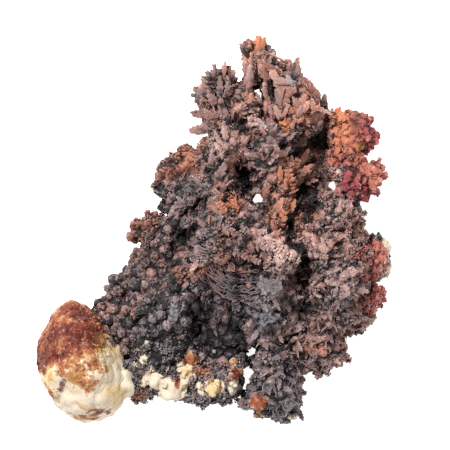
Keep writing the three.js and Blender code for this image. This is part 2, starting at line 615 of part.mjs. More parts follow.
// ---------------------------------------------------------------- assembly
const floor = solidFrom(new THREE.BoxGeometry(4 * REACH, 4 * REACH, REACH).translate(0, 0, -REACH / 2));
const specimen = new THREE.Group();
let taken = wasm.Manifold.union([floor, ...HOLES.map(holeSolid)]);
for (const piece of PIECES) {
  const body = largestOf(pieceSolid(piece).subtract(taken).simplify(SLIVER));
  const mesh = new THREE.Mesh(geometryOf(body), piece.material);
  mesh.name = piece.name;
  specimen.add(mesh);
  taken = taken.add(pieceSolid(piece, SEAM));
}

// The origin is the centre of the footprint.
const middle = new THREE.Box3().setFromObject(specimen).getCenter(new THREE.Vector3());
specimen.position.set(-middle.x, -middle.y, 0);

export default specimen;
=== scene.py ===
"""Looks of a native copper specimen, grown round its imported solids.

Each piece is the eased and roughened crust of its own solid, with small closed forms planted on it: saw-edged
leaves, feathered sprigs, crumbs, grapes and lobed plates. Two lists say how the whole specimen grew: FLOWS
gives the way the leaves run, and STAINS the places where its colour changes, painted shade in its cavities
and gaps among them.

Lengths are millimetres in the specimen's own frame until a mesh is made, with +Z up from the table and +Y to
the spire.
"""

import logging
import math
from collections.abc import Callable, Sequence
from dataclasses import dataclass, replace
from enum import Enum

import bmesh
import bpy
import numpy as np
from mathutils import Euler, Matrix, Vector, noise
from mathutils.bvhtree import BVHTree


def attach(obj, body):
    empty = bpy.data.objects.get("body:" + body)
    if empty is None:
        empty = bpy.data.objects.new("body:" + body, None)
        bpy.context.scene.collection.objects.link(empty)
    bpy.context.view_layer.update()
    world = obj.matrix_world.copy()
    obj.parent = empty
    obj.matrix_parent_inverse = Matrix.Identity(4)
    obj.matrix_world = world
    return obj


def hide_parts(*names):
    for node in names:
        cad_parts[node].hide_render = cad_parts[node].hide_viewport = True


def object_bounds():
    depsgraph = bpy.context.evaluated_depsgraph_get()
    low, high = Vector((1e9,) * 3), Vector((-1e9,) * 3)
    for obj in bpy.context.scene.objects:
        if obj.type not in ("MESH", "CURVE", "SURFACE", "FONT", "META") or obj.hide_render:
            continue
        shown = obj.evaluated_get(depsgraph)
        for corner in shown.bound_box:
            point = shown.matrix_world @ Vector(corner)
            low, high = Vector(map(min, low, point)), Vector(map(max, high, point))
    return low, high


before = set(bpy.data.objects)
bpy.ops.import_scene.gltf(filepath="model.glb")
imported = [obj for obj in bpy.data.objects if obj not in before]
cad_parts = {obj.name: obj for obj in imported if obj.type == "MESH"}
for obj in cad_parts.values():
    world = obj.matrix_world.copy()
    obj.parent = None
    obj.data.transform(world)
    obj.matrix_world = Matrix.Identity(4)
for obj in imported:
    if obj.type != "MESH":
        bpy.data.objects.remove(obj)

Socket = bpy.types.NodeSocket
Material = bpy.types.Material
Inputs = dict[str | int, object] | Sequence[object]  # by name or number, or in order: see add_node
Round = tuple[float, float, float]  # x and y of a round's centre, and its radius

LOG = logging.getLogger("copper_specimen")
MM = 0.001
CAD_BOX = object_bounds()
DOWN = (0, 0, -1)
EDGE_GIVE, TOP_GIVE = 1.2, 1.8  # how far growth may reach over the box's sides and top before it is pressed
FLOOR_GIVE = 0.3  # how far it may reach under the box
PRESS_DEPTH = 7.0  # how far inside the box the pressing starts


# ---------------------------------------------------------------- colours and nodes
def linear(code: str) -> tuple[float, float, float, float]:
    """Turns an sRGB hex colour into the linear one that shaders use.

    Args:
        code: Six hex digits, with or without a leading hash.

    Returns:
        Red, green, blue and alpha, from 0 to 1.
    """
    parts = [int(code.lstrip("#")[i : i + 2], 16) / 255 for i in (0, 2, 4)]
    red, green, blue = [p / 12.92 if p <= 0.04045 else ((p + 0.055) / 1.055) ** 2.4 for p in parts]
    return red, green, blue, 1.0


def add_node(
    tree: bpy.types.NodeTree,
    kind: str,
    inputs: Inputs = (),
    stops: Sequence[tuple[float, str]] = (),
    **settings: object,
) -> bpy.types.Node:
    """Adds a node with its settings and links.

    Args:
        tree: Where the node goes.
        kind: Blender's name for the node's type, after ShaderNode.
        inputs: What each input gets: another node's output, a hex colour or a plain value.
        stops: Place and hex colour of each stop, for a colour ramp.
        settings: The node's own properties.

    Returns:
        The new node.
    """
    node = tree.nodes.new(f"ShaderNode{kind}")
    for name, value in settings.items():
        setattr(node, name, value)
    for name, value in inputs.items() if isinstance(inputs, dict) else enumerate(inputs):
        if isinstance(value, Socket):
            tree.links.new(value, node.inputs[name])
        else:
            node.inputs[name].default_value = linear(value) if isinstance(value, str) else value
    for _ in stops[2:]:
        node.color_ramp.elements.new(1.0)
    for i, (place, code) in enumerate(stops):
        node.color_ramp.elements[i].position = place
        node.color_ramp.elements[i].color = linear(code)
    return node


CLIMB = {"interpolation_type": "SMOOTHSTEP"}  # a map range: value, from, to, and what it gives at either end
TIMES = {"operation": "MULTIPLY"}
COLOURS = {"data_type": "RGBA"}  # a mix: 0 is the share of the second colour, 6 and 7 are the colours
THIRDS = (0.0, 0.5, 1.0)  # where a ramp of three colours has them


class Painter:
    """Builds one material's node tree, with patterns sized in millimetres."""

    OUTPUTS = {"TexCoord": "Object", "Attribute": "Fac", "Mix": 2}  # the one in use, where it isn't the first

    def __init__(self, name: str) -> None:
        """Starts an empty material.

        Args:
            name: The material's name.
        """
        self.material = bpy.data.materials.new(name)
        self.material.use_nodes = True
        self.tree = self.material.node_tree
        self.tree.nodes.clear()
        self.places = self.add("TexCoord")

    def add(
        self, kind: str, inputs: Inputs = (), stops: Sequence[tuple[float, str]] = (), **settings: object
    ) -> Socket:
        """Adds a node to this material and gives its output."""
        return add_node(self.tree, kind, inputs, stops, **settings).outputs[self.OUTPUTS.get(kind, 0)]

    def grains(self, size: float, detail: float = 2.0, roughness: float = 0.55) -> Inputs:
        """Gives the inputs of noise whose grains are about size millimetres across."""
        return {"Vector": self.places, "Scale": 1 / (size * MM), "Detail": detail, "Roughness": roughness}

    def read(self, *traits: "Trait") -> list[Socket]:
        """Gives traits that were stored on the mesh."""
        return [self.add("Attribute", attribute_name=trait.value) for trait in traits]

    def nudged(self, value: Socket, *nudges: tuple[Socket, float], middle: float = 0.5) -> Socket:
        """Moves a value by others.

        Args:
            value: From 0 to 1.
            nudges: Each other value, and how far the whole of its range moves this one.
            middle: Where the others leave it as it is.

        Returns:
            The moved value, kept between 0 and 1 after each nudge.
        """
        for other, amount in nudges:
            moved = self.add("Math", (other, amount, -amount * middle), operation="MULTIPLY_ADD")
            value = self.add("Math", (value, moved), operation="ADD", use_clamp=True)
        return value

    def finish(self, inputs: Inputs) -> Material:
        """Ends the tree in a shader with these inputs, and gives the finished material."""
        add_node(self.tree, "OutputMaterial", (self.add("BsdfPrincipled", inputs),))
        return self.material


# ---------------------------------------------------------------- traits and the places where they change
class Trait(Enum):
    """What is stored on a mesh for its material to read."""

    # painted light and shade: 0 deep in a crack or under a form, 1 at a tip in the open
    HEIGHT = "height"
    SHADE = "shade"
    WARMTH = "warmth"
    BLOOM = "bloom"
    RUST = "rust"
    SILVER = "silver"
    # painted shade, near black, in the cavities and the gaps between leaves
    SOOT = "soot"


@dataclass(frozen=True)
class Stain:
    """A round place where a trait nears a level. It fades out at about one and a half times its reach."""

    trait: Trait
    x: float
    y: float
    reach: float
    level: float = 1.0
    squash: float = 1.0  # height of the place along Y, as a share of its width

    def weigh(self, points: np.ndarray) -> np.ndarray:
        """Gives how far each point lies in the place, 1 at its centre."""
        away = np.hypot(points[:, 0] - self.x, (points[:, 1] - self.y) / self.squash)
        return np.exp(-((away / self.reach) ** 4) * 0.7)


STAIN_WOBBLE, STAIN_DRIFT = 1.4, 2.6  # how far the edge of a stain strays, and from one bay to the next


def stains(**listed: Sequence[tuple[float, ...]]) -> tuple[Stain, ...]:
    """Gives each trait's stains from their x, y, reach and, where it isn't 1, level and squash."""
    return tuple(Stain(Trait(name), *place) for name, places in listed.items() for place in places)


# x and y of a place, and the way that leaves run there, as an angle from +X in degrees
FLOWS = (
    # spire, left spray and right fan
    (11, 46, 85), (8, 40, 95), (3, 38, 108), (-2, 33, 140), (-3, 27, 175), (14, 39, 125), (18, 36, 122),
    (17, 33, 115), (20.5, 33, 100), (24, 32, 80), (22, 27, 52), (27, 28, 75), (12, 33, 90), (15, 29, 90),
    (4, 22, 85), (7, 29, 110),
    # stem and left shoulder
    (17, 12, 95), (18, 3, 80), (24, 15, 60), (10, 22, 120), (3, 17, 140), (-6, 14, 150), (-10, 9, 175),
    (-4, 7, 190), (5, 6, 120),
    # middle
    (3, -3, 30), (8, -8, -15), (16, -5, -35), (-4, -8, 160), (10, -14, -20), (4, -18, -60), (14, -20, -70),
    (6, -27, -90),
    # right mass and cuprite
    (24, -2, 100), (30, 4, 60), (33, -6, 10), (29, -15, -30), (36, -20, -40), (36, 14, 20), (34, 25, 45),
    (41, -8, 0), (42, -17, -10),
    # fringe, foot and left arm
    (27, -32, -70), (16, -40, -85), (11, -44, -120), (18, -47, -80), (-19, 0, 170),
    # grapes and calcite
    (-15, -10, 150), (-25, -18, 190), (-12, -26, -100), (-10, -38, -90), (-34, -33, 200),
)

HOLES: tuple[Round, ...] = (
    # where light comes right through
    (11.1, 8.1, 1.25), (11, 34.3, 1.05), (10.6, 35.7, 0.8), (5.4, 34.4, 0.5), (9.5, -30.5, 1.1),
    (8.5, -35.8, 1.3), (29.8, 11.4, 1.2),
    # notches in the outline
    (6.4, 37.9, 0.6), (6.2, 39.4, 1.1), (5.9, 41.3, 1.45), (5.4, 43.4, 1.7), (4.7, 45.6, 1.7),
    (9.8, 49.0, 0.8), (14.5, 48.7, 1.4), (15.7, 46.7, 1.4), (4.1, 42.5, 0.5), (-3.0, 41.0, 1.2),
    (26.4, 30.8, 0.5),
)

STAINS = stains(
    warmth=(
        # terracotta: stem, shoulder rim, left arm, herringbone
        (18.5, 7, 5.5, 1, 1.9), (24, 17, 5, 0.8), (-10, 17, 6), (-7, 8, 6, 0.2), (3.5, 6.5, 3.2, 0.95),
        (5, -4, 6, 0.6), (3, 15, 5, 0.6), (22, 33, 7, 0.85), (4, 29, 5, 0.6), (36, 2, 4, 0.75),
        (-17, -7, 5, 0.55), (-26, -18, 5, 0.6),
        # grey black: lower middle, foot, left lower side
        (5, -23, 9, 0.12), (13, -20, 6, 0.15), (22, -19, 5, 0.3), (-12, -26, 9, 0.08), (30, -16, 6, 0.35),
        (-4, -3, 4, 0.2), (-6, -10.6, 4.5, 0.85, 0.45),
        # on the calcite crumbs of the foot and the clump
        (11.2, -43.2, 2.2, 0.62), (-18.8, -29, 1.2, 0.3),
    ),
    bloom=(
        (17.3, -6.4, 3.9, 0.68), (14, -2.5, 2.5, 0.6), (24, -3, 5, 0.45), (9, 28.5, 3, 0.6), (31, 3, 5, 0.4),
        (3, 22, 3.5, 0.4), (31, -12, 5, 0.3), (17.5, 7, 1.2, 0.8), (5, 22, 3, 0.25), (-10, -26, 3.5, 0.2),
    ),
    rust=(
        (17.8, 26.4, 1.4), (11.4, 24.2, 1.2, 0.7), (11.5, 48, 2.2, 0.9), (4, 6.5, 2, 0.7),
        (-21, -21, 1.1, 0.9), (18, 9, 2.5, 0.35, 2.4), (-8, 18, 2.5, 0.5), (26.5, -30, 1.6, 0.4),
    ),
    soot=(
        # painted shade, near black, in the cavities, the cracks and the gaps between leaves
        (7.8, 12.6, 2.1, 0.95, 1.8), (25.5, 17, 3.2, 0.5, 2), (23.5, 8, 3.4, 0.75, 1.6), (-7, 7, 6, 0.3),
        (4, -4.5, 5, 0.42), (-11, -9, 5, 0.32), (10.6, 17, 0.9, 0.8, 2), (-5.2, 33.2, 1.6, 0.5),
        (-5, 29.6, 1.8, 0.5), (0.6, 40.6, 1.2, 0.45), (4.6, 40.4, 0.9, 0.5, 1.6), (7.8, 45.6, 1.2, 0.5, 2),
        (8.6, 48.6, 0.9, 0.5), (2.4, 31.6, 1, 0.7, 1.6), (-0.6, 35.6, 0.8, 0.7, 1.4), (5, 36, 0.8, 0.6, 1.8),
        (3.4, 27.4, 1.5, 0.6, 0.8), (14.8, 34.5, 1.2, 0.8, 2.4), (10.2, 38.5, 0.7, 0.8, 4),
        (12.6, 5.4, 1.2, 0.7, 1.6), (-8, -1, 2.6, 0.75, 0.8), (19, 2, 1.4, 0.8, 2.2), (24, -19, 2, 0.7),
        (-5, -20, 2, 0.85, 1.8), (4.5, -22, 2.4, 0.85), (6.5, -29, 2.2, 0.9, 2), (0, -27, 6, 0.6),
        (4, -16.5, 4, 0.45), (-14, -20, 7, 0.12), (4, -8, 6, 0.45), (-9, 17, 5, 0.5),
        (17.4, 21.4, 1, 0.95, 1.8), (5.8, 26.6, 1.3, 0.9, 1.5), (8, 25.2, 1.6, 0.7, 0.8),
        (-1.4, 14.5, 1.2, 0.6, 1.6), (27, 23, 2, 0.7, 1.6), (13, -10.5, 2, 0.8, 0.6),
        (18.8, -1.6, 1.5, 0.95, 1.8), (21, -4.4, 1.5, 0.95, 0.9), (22.8, -7, 1.6, 0.95),
        (5.4, -12.6, 1.6, 0.6, 0.6), (-2, -13, 1.5, 0.6, 2),
    ),
    silver=(
        (19.6, 38.5, 2.2, 0.85), (12.5, -21.5, 2.6, 0.55), (14, -13.5, 3.6, 0.45), (4, -13, 2, 0.25),
        (-7.2, -18, 1.8, 0.95), (-5.6, -15, 1.5, 0.9), (-10, -21, 2, 0.6), (-15, -28, 7, 0.22),
        (-5, -26, 6, 0.2), (15, -40, 7, 0.18), (16.5, -44, 2, 0.6), (15, 34, 1.6, 0.5, 2),
    ),
)


def flow_at(points: np.ndarray) -> np.ndarray:
    """Gives the level direction in which leaves run at each point, from the nearest flows.

    Args:
        points: Places in millimetres.

    Returns:
        A unit vector for each place.
    """
    x, y, headings = np.array(FLOWS, float).T
    turns = np.radians(headings)
    weights = 1 / (np.hypot(points[:, None, 0] - x, points[:, None, 1] - y) + 0.5) ** 3
    level = np.stack([weights @ np.cos(turns), weights @ np.sin(turns), np.zeros(len(points))], axis=1)
    return unit(level)


def beyond(points: np.ndarray, rounds: Sequence[Round]) -> np.ndarray:
    """Gives how far each point lies outside the nearest of the rounds, which is negative inside one.

    Args:
        points: Places in millimetres.
        rounds: The rounds.

    Returns:
        A distance for each place, or infinity where there are no rounds.
    """
    away = [np.hypot(points[:, 0] - x, points[:, 1] - y) - radius for x, y, radius in rounds]
    return np.min(away, axis=0) if away else np.full(len(points), np.inf)


def in_rounds(points: np.ndarray, rounds: Sequence[Round]) -> np.ndarray:
    """Tells which points lie in one of the rounds."""
    return beyond(points, rounds) < 0


def fits_round(points: np.ndarray, radii: np.ndarray) -> np.ndarray:
    """Tells which balls lie in the solids' box, with what may be pressed in, and mostly out of the holes.

    Args:
        points: Middles of the balls.
        radii: Their radii.

    Returns:
        True for each ball that fits.
    """
    low, high = (np.array(corner) / MM for corner in CAD_BOX)
    under, over = (EDGE_GIVE, EDGE_GIVE, FLOOR_GIVE), (EDGE_GIVE, EDGE_GIVE, TOP_GIVE)
    room = np.minimum(points - low + under, high + over - points)
    return (room.min(axis=1) > radii) & (beyond(points, HOLES) > 0.8 * radii)


def pressed_in(points: np.ndarray) -> np.ndarray:
    """Presses growth that reaches over the sides and top of the solids' box back in, most at the edge.

    Args:
        points: Points of the growth.

    Returns:
        The same points, moved where they were near the box's sides or top.
    """
    low, high = (np.array(corner) / MM for corner in CAD_BOX)
    give = np.array([EDGE_GIVE, EDGE_GIVE, TOP_GIVE])
    over = np.clip((points - high + PRESS_DEPTH) / (PRESS_DEPTH + give), 0, 1)
    under = np.clip((low - points + PRESS_DEPTH) / (PRESS_DEPTH + give), 0, 1) * (1, 1, 0)
    return np.clip(points + give * (under**2 - over**2), low, high)


# ---------------------------------------------------------------- holes
HOLE_CORNERS = 24


def hole_wall(x: float, y: float, radius: float, turns: np.ndarray) -> np.ndarray:
    """Gives how far a hole's uneven wall is from its middle, at each turn round it.

    Args:
        x: Middle of the hole.
        y: Middle of the hole.
        radius: Its radius, on average.
        turns: Angles round it.

    Returns:
        A distance for each angle.
    """
    bays, nicks, grains = np.sin(3 * turns + x + 0.57 * y), np.sin(5 * turns + y), np.sin(8 * turns + x)
    return radius * (1 + 0.22 * bays + 0.12 * nicks + 0.08 * grains)


def hole_drill(holes: Sequence[Round]) -> bpy.types.Object:
    """Makes upright prisms in the form of the holes.

    Args:
        holes: The holes to drill.

    Returns:
        An object of prisms that cut through every solid.
    """
    turns = np.arange(HOLE_CORNERS) * math.tau / HOLE_CORNERS
    low, high = 2 * HOLE_CORNERS, 2 * HOLE_CORNERS + 1
    faces = []
    for i in range(HOLE_CORNERS):
        n = (i + 1) % HOLE_CORNERS
        up, next_up = HOLE_CORNERS + i, HOLE_CORNERS + n
        faces += [[i, n, up], [n, next_up, up], [n, i, low], [up, next_up, high]]
    prisms = []
    for x, y, radius in holes:
        wall = hole_wall(x, y, radius, turns)
        ring = np.stack([x + wall * np.cos(turns), y + wall * np.sin(turns)], axis=1)
        ends = [np.column_stack([ring, np.full(HOLE_CORNERS, level)]) for level in (-Sky.ABOVE, Sky.ABOVE)]
        points = np.concatenate([*ends, [[x, y, -Sky.ABOVE], [x, y, Sky.ABOVE]]])
        prisms.append(Shape(points, np.array(faces), np.zeros(len(points))).facing_out())
    whole = joined(prisms)
    mesh = bpy.data.meshes.new("hole_drill")
    mesh.from_pydata((whole.points * MM).tolist(), [], whole.faces.tolist())
    return linked(bpy.data.objects.new("hole_drill", mesh))


def kept_off_holes(points: np.ndarray) -> np.ndarray:
    """Moves a piece's points that lie in a hole sideways to its wall.

    Args:
        points: Points of the piece.

    Returns:
        The same points, moved where they lay in a hole.
    """
    moved = points.copy()
    for x, y, radius in HOLES:
        near = np.hypot(moved[:, 0] - x, moved[:, 1] - y) < 2 * radius
        if not near.any():
            continue
        aside = moved[near, :2] - (x, y)
        wall = hole_wall(x, y, radius, np.arctan2(aside[:, 1], aside[:, 0]))
        middle = aside.mean(axis=0)
        if np.linalg.norm(middle) > 0.35 * radius:  # the piece lies on one side of the hole
            out = aside @ unit(middle)
            across = aside - out[:, None] * unit(middle)
            room = np.clip(wall**2 - (across**2).sum(axis=1), 0, None)
            aside = across + np.where(room > 0, np.maximum(out, np.sqrt(room)), out)[:, None] * unit(middle)
        else:
            away = np.maximum(np.linalg.norm(aside, axis=1), 0.05)
            aside = aside * (np.maximum(away, wall) / away)[:, None]
        moved[near, :2] = aside + (x, y)
    return moved


# ---------------------------------------------------------------- shapes
def linked(thing: bpy.types.Object) -> bpy.types.Object:
    """Puts an object into the scene."""
    bpy.context.scene.collection.objects.link(thing)
    return thing


def unit(vectors: np.ndarray) -> np.ndarray:
    """Gives the vectors at length 1."""
    return vectors / np.maximum(np.linalg.norm(vectors, axis=-1, keepdims=True), 1e-9)


def waves(points: np.ndarray, size: float, seed: float) -> np.ndarray:
    """Gives smooth noise from -1 to 1 with swells about size millimetres across."""
    return np.array([noise.noise(p) for p in (points / size + seed).tolist()])


def domes(points: np.ndarray, size: float, seed: float) -> tuple[np.ndarray, np.ndarray]:
    """Gives a pattern of domes with cracks between them.

    Args:
        points: Where.
        size: From one dome to the next.
        seed: Sets the pattern.

    Returns:
        Height, 1 on top of a dome and 0 in a crack, and a tone from 0 to 1 that each dome has to itself.
    """
    found = [noise.voronoi(p) for p in (points / size + seed).tolist()]
    gaps = np.array([away[1] - away[0] for away, _ in found])
    tones = np.array([(13.7 * sum(centres[0])) % 1.0 for _, centres in found])
    return np.clip(2.2 * gaps, 0, 1) ** 0.6, tones


TIP_LIGHT = 0.5  # how light the tip of a form is that grows out of the dark


@dataclass
class Places:
    """Where small forms are planted. Each turn's columns are a form's side, its growth and its face."""

    origins: np.ndarray
    turns: np.ndarray
    openness: np.ndarray

    def some(self, chosen: np.ndarray) -> "Places":
        """Gives the chosen places."""
        return Places(self.origins[chosen], self.turns[chosen], self.openness[chosen])


@dataclass
class Shape:
    """Closed triangle meshes in millimetres.

    height is painted light and shade, 0 deep in a crack and 1 at a tip, and shade is one random number
    for each small form.
    """

    points: np.ndarray
    faces: np.ndarray
    height: np.ndarray
    shade: np.ndarray | float = 0.5
    is_smooth: bool = False
    finish: int = 0  # which of the piece's finishes it has

    def facing_out(self) -> "Shape":
        """Turns the faces round where the mesh is inside out.

        Returns:
            This shape.
        """
        a, b, c = (self.points[self.faces[:, i]] for i in range(3))
        if np.einsum("ij,ij->", a, np.cross(b, c)) < 0:
            self.faces = self.faces[:, ::-1]
        return self

    def planted(self, places: Places, sizes: np.ndarray, shades: np.ndarray) -> "Shape":
        """Copies the shape to many places.

        Args:
            places: Where the copies go, how they are turned, and how open each place is.
            sizes: The size of each copy.
            shades: The shade of each copy.

        Returns:
            All copies as one shape.
        """
        count, corners = len(sizes), len(self.points)
        turned = np.einsum("kij,nj->kni", places.turns * sizes[:, None, None], self.points)
        points = (places.origins[:, None, :] + turned).reshape(-1, 3)
        faces = (self.faces[None] + (np.arange(count) * corners)[:, None, None]).reshape(-1, 3)
        # painted shade: a copy in a closed-in place is darker, most of all at its root
        light = places.openness[:, None]
        height = (self.height * (light + TIP_LIGHT * (1 - light) * self.height)).ravel()
        return Shape(points, faces, height, np.repeat(shades, corners), self.is_smooth, self.finish)


def joined(shapes: Sequence[Shape]) -> Shape:
    """Gives several shapes as one.

    Args:
        shapes: Which ones.

    Returns:
        One shape, with its faces in the same order.
    """
    starts = np.cumsum([0] + [len(s.points) for s in shapes[:-1]])
    return Shape(
        np.concatenate([s.points for s in shapes]),
        np.concatenate([s.faces + start for s, start in zip(shapes, starts)]),
        np.concatenate([s.height for s in shapes]),
        np.concatenate([np.broadcast_to(s.shade, len(s.points)) for s in shapes]),
        shapes[0].is_smooth,
    )


def sleeve(rings: int, corners: int) -> list[list[int]]:
    """Gives the triangles that join each ring of points to the next.

    Args:
        rings: How many rings there are.
        corners: How many points each has.

    Returns:
        The triangles, by the numbers of their points.
    """
    faces = []
    for start in range(0, (rings - 1) * corners, corners):
        for i in range(corners):
            a, b = start + i, start + (i + 1) % corners
            faces += [[a, b, a + corners], [b, b + corners, a + corners]]
    return faces


def cone(start: int, corners: int, tip: int) -> list[list[int]]:
    """Gives the triangles that join one ring of points, which begins at start, to a tip."""
    return [[start + i, start + (i + 1) % corners, tip] for i in range(corners)]


def ball(subdivisions: int) -> Shape:
    """Gives a unit ball of triangles.

    Args:
        subdivisions: How often its faces are split, which starts from an icosahedron.

    Returns:
        The ball.
    """
    mesh = bmesh.new()
    bmesh.ops.create_icosphere(mesh, subdivisions=subdivisions, radius=1)
    points = np.array([v.co[:] for v in mesh.verts])
    faces = np.array([[v.index for v in f.verts] for f in mesh.faces])
    mesh.free()
    return Shape(points, faces, np.full(len(points), 0.5), is_smooth=True)


def blade(root: Sequence[float], tip: Sequence[float], width: float, thickness: float, tilt: float) -> Shape:
    """Gives a flat diamond of eight faces.

    Args:
        root: Where it starts.
        tip: Where it ends.
        width: Its width, at two fifths of its length.
        thickness: Its thickness there.
        tilt: How far its flat side looks to the side instead of up.

    Returns:
        The diamond.
    """
    start, end = np.array(root, float), np.array(tip, float)
    along = unit(end - start)
    side = unit(np.cross(along, np.array((tilt, 0, 1), float)))
    out = np.cross(side, along)
    middle = start + 0.4 * (end - start)
    half, deep = width / 2 * side, thickness / 2 * out
    points = np.array([start, middle - half, middle + deep, middle + half, middle - deep, end])
    faces = np.array([[0, i, i % 4 + 1] for i in range(1, 5)] + [[5, i % 4 + 1, i] for i in range(1, 5)])
    return Shape(points, faces, np.array([0.1, 0.8, 0.6, 0.8, 0.4, 1.0])).facing_out()


# ---------------------------------------------------------------- small forms, one unit long
GOLDEN_ANGLE = math.pi * (3 - math.sqrt(5))
FLORET_GRAINS = 12
TUFT_LEAVES = 8
SPRIG_PAIRS = 4
PLATE_CORNERS = 24
SEEDS = 50  # noise patterns are picked from 0 to this


def octahedron(rng: np.random.Generator) -> Shape:
    """A rough crystal grain of eight faces, turned at random.

    Args:
        rng: Source of all that is random here.

    Returns:
        The grain.
    """
    points = np.array([[1, 0, 0], [0, 1, 0], [0, 0, 1], [-1, 0, 0], [0, -1, 0], [0, 0, -1]], float)
    points *= rng.uniform(0.8, 1.25, (6, 1)) * 0.5
    turn = np.linalg.qr(rng.normal(size=(3, 3)))[0]
    faces = [[0, 1, 2], [1, 3, 2], [3, 4, 2], [4, 0, 2], [1, 0, 5], [3, 1, 5], [4, 3, 5], [0, 4, 5]]
    return Shape(points @ turn.T, np.array(faces), np.full(6, 0.5)).facing_out()


def crumb(rng: np.random.Generator) -> Shape:
    """A twin of two crystal grains.

    Args:
        rng: Source of all that is random here.

    Returns:
        The twin.
    """
    grains = [octahedron(rng), octahedron(rng)]
    grains[1].points = 0.7 * grains[1].points + rng.uniform(-0.3, 0.3, 3)
    twin = joined(grains)
    # painted light on its upper side and painted shade on its lower side
    twin.height = np.clip(0.45 + 0.75 * twin.points[:, 2] + rng.uniform(-0.1, 0.1), 0, 1)
    return twin


def floret(rng: np.random.Generator) -> Shape:
    """A knot of crystal grains over a dark heart, like a cauliflower's floret.

    Args:
        rng: Source of all that is random here.

    Returns:
        The knot.
    """
    heart = octahedron(rng)
    heart.points *= 0.75
    # painted shade on the heart; grains further out and higher up get more painted light
    heart.height = np.full(6, 0.05)
    grains = [heart]
    for i in range(FLORET_GRAINS):
        up = 1 - 1.35 * (i + 0.5) / FLORET_GRAINS
        turn = i * GOLDEN_ANGLE + rng.uniform(-0.3, 0.3)
        out = np.array([math.cos(turn) * math.sqrt(1 - up * up), math.sin(turn) * math.sqrt(1 - up * up), up])
        grain = octahedron(rng)
        grain.points = grain.points * rng.uniform(0.26, 0.42) + out * rng.uniform(0.34, 0.46)
        grain.height = np.clip(0.25 + 1.7 * (np.linalg.norm(grain.points, axis=1) - 0.32) + 0.25 * up, 0, 1)
        grains.append(grain)
    return joined(grains)


def leaf(rng: np.random.Generator) -> Shape:
    """A flat, saw-edged leaf that curls a little.

    Args:
        rng: Source of all that is random here.

    Returns:
        The leaf, from its root towards +Y with its face up.
    """
    steps = 2 * int(rng.integers(3, 6))  # every second one is a tooth
    width, curl, cup = rng.uniform(0.34, 0.55), rng.uniform(-0.15, 0.25), rng.uniform(-0.3, 0.3)
    rings = []
    for i in range(steps):
        t = i / steps
        is_tooth = i % 2 == 1
        reach = width / 2 * (0.25 + 0.75 * math.sin(math.pi * min(1.0, 0.12 + 0.95 * t)) ** 0.7)
        left, right = reach * (1.0 if is_tooth else 0.7) * rng.uniform(0.75, 1.15, 2)
        y = t + (0.06 if is_tooth else 0.0)
        lift, deep = curl * t * t, 0.12 * (1 - 0.6 * t) / 2
        rings += [[-left, y, lift + cup * left], [0, t, lift + deep]]
        rings += [[right, y, lift + cup * right], [0, t, lift - deep]]
    points = np.array([*rings, [0, 1, curl]])
    faces = [[0, 2, 1], [0, 3, 2], *sleeve(steps, 4), *cone(4 * (steps - 1), 4, 4 * steps)]
    # painted shade at the root, and painted light towards the tip and the edges
    height = 0.2 + 0.6 * np.clip(points[:, 1], 0, 1) + 0.3 * np.abs(points[:, 0]) / width
    return Shape(points, np.array(faces), np.clip(height, 0, 1)).facing_out()


def tuft(rng: np.random.Generator) -> Shape:
    """A bunch of leaves from one root.

    Args:
        rng: Source of all that is random here.

    Returns:
        The bunch.
    """
    bunch = []
    for i in range(TUFT_LEAVES):
        one = leaf(rng)
        spread = math.radians(75 * (2 * i / (TUFT_LEAVES - 1) - 1) + rng.uniform(-12, 12))
        lift, roll = math.radians(rng.uniform(-5, 50)), math.radians(rng.uniform(-50, 50))
        turn = Euler((lift, roll, spread), "YXZ").to_matrix()
        one.points = one.points @ np.array(turn).T * rng.uniform(0.5, 0.75) * (1 + 0.4 * math.cos(spread))
        bunch.append(one)
    return joined(bunch)


def sprig(rng: np.random.Generator) -> Shape:
    """A stalk with leaflets in pairs, like a feather.

    Args:
        rng: Source of all that is random here.

    Returns:
        The stalk with its leaflets, from its root towards +Y.
    """
    parts = [blade((0, 0, 0), (0, 1, 0.05), 0.1, 0.1, 0)]
    for i in range(SPRIG_PAIRS):
        t = 0.12 + 0.2 * i
        for hand in (-1, 1):
            turn = math.radians(rng.uniform(35, 60))
            reach = (0.42 - 0.25 * t) * rng.uniform(0.8, 1.2)
            tip = (hand * reach * math.sin(turn), t + reach * math.cos(turn), rng.uniform(-0.08, 0.12))
            parts.append(blade((0, t, 0.02), tip, 0.2, 0.08, rng.uniform(-0.5, 0.5)))
    shape = joined(parts)
    # painted shade on the stalk's root, and painted light towards the leaflets' tips
    shape.height = np.clip(0.25 + 0.45 * shape.points[:, 1] + 0.9 * np.abs(shape.points[:, 0]), 0, 1)
    return shape


def grape(rng: np.random.Generator) -> Shape:
    """A ball of fused granules.

    Args:
        rng: Source of all that is random here.

    Returns:
        The ball.
    """
    core = ball(3)
    swell = domes(core.points, 0.62, rng.uniform(0, SEEDS))[0]
    core.points = core.points * (0.37 + 0.16 * swell[:, None]) * rng.uniform(0.85, 1.15, 3)
    # painted shade between the granules and on the underside
    core.height = (0.05 + 0.75 * swell**1.4) * np.clip(0.7 + 0.7 * core.points[:, 2], 0, 1)
    return core


def lump(rng: np.random.Generator) -> Shape:
    """An uneven lump of grown-together granules.

    Args:
        rng: Source of all that is random here.

    Returns:
        The lump.
    """
    core = ball(3)
    seed = rng.uniform(0, SEEDS)
    swell = waves(core.points, 0.9, seed) + 0.4 * waves(core.points, 0.35, seed)
    grains = domes(core.points, 0.42, seed)[0]
    core.points *= (0.38 + 0.3 * swell + 0.09 * grains)[:, None] * rng.uniform(0.75, 1.15, 3)
    # painted light on the swells and painted shade in the dips
    core.height = np.clip(0.45 + 0.7 * swell + 0.45 * grains, 0, 1)
    return core


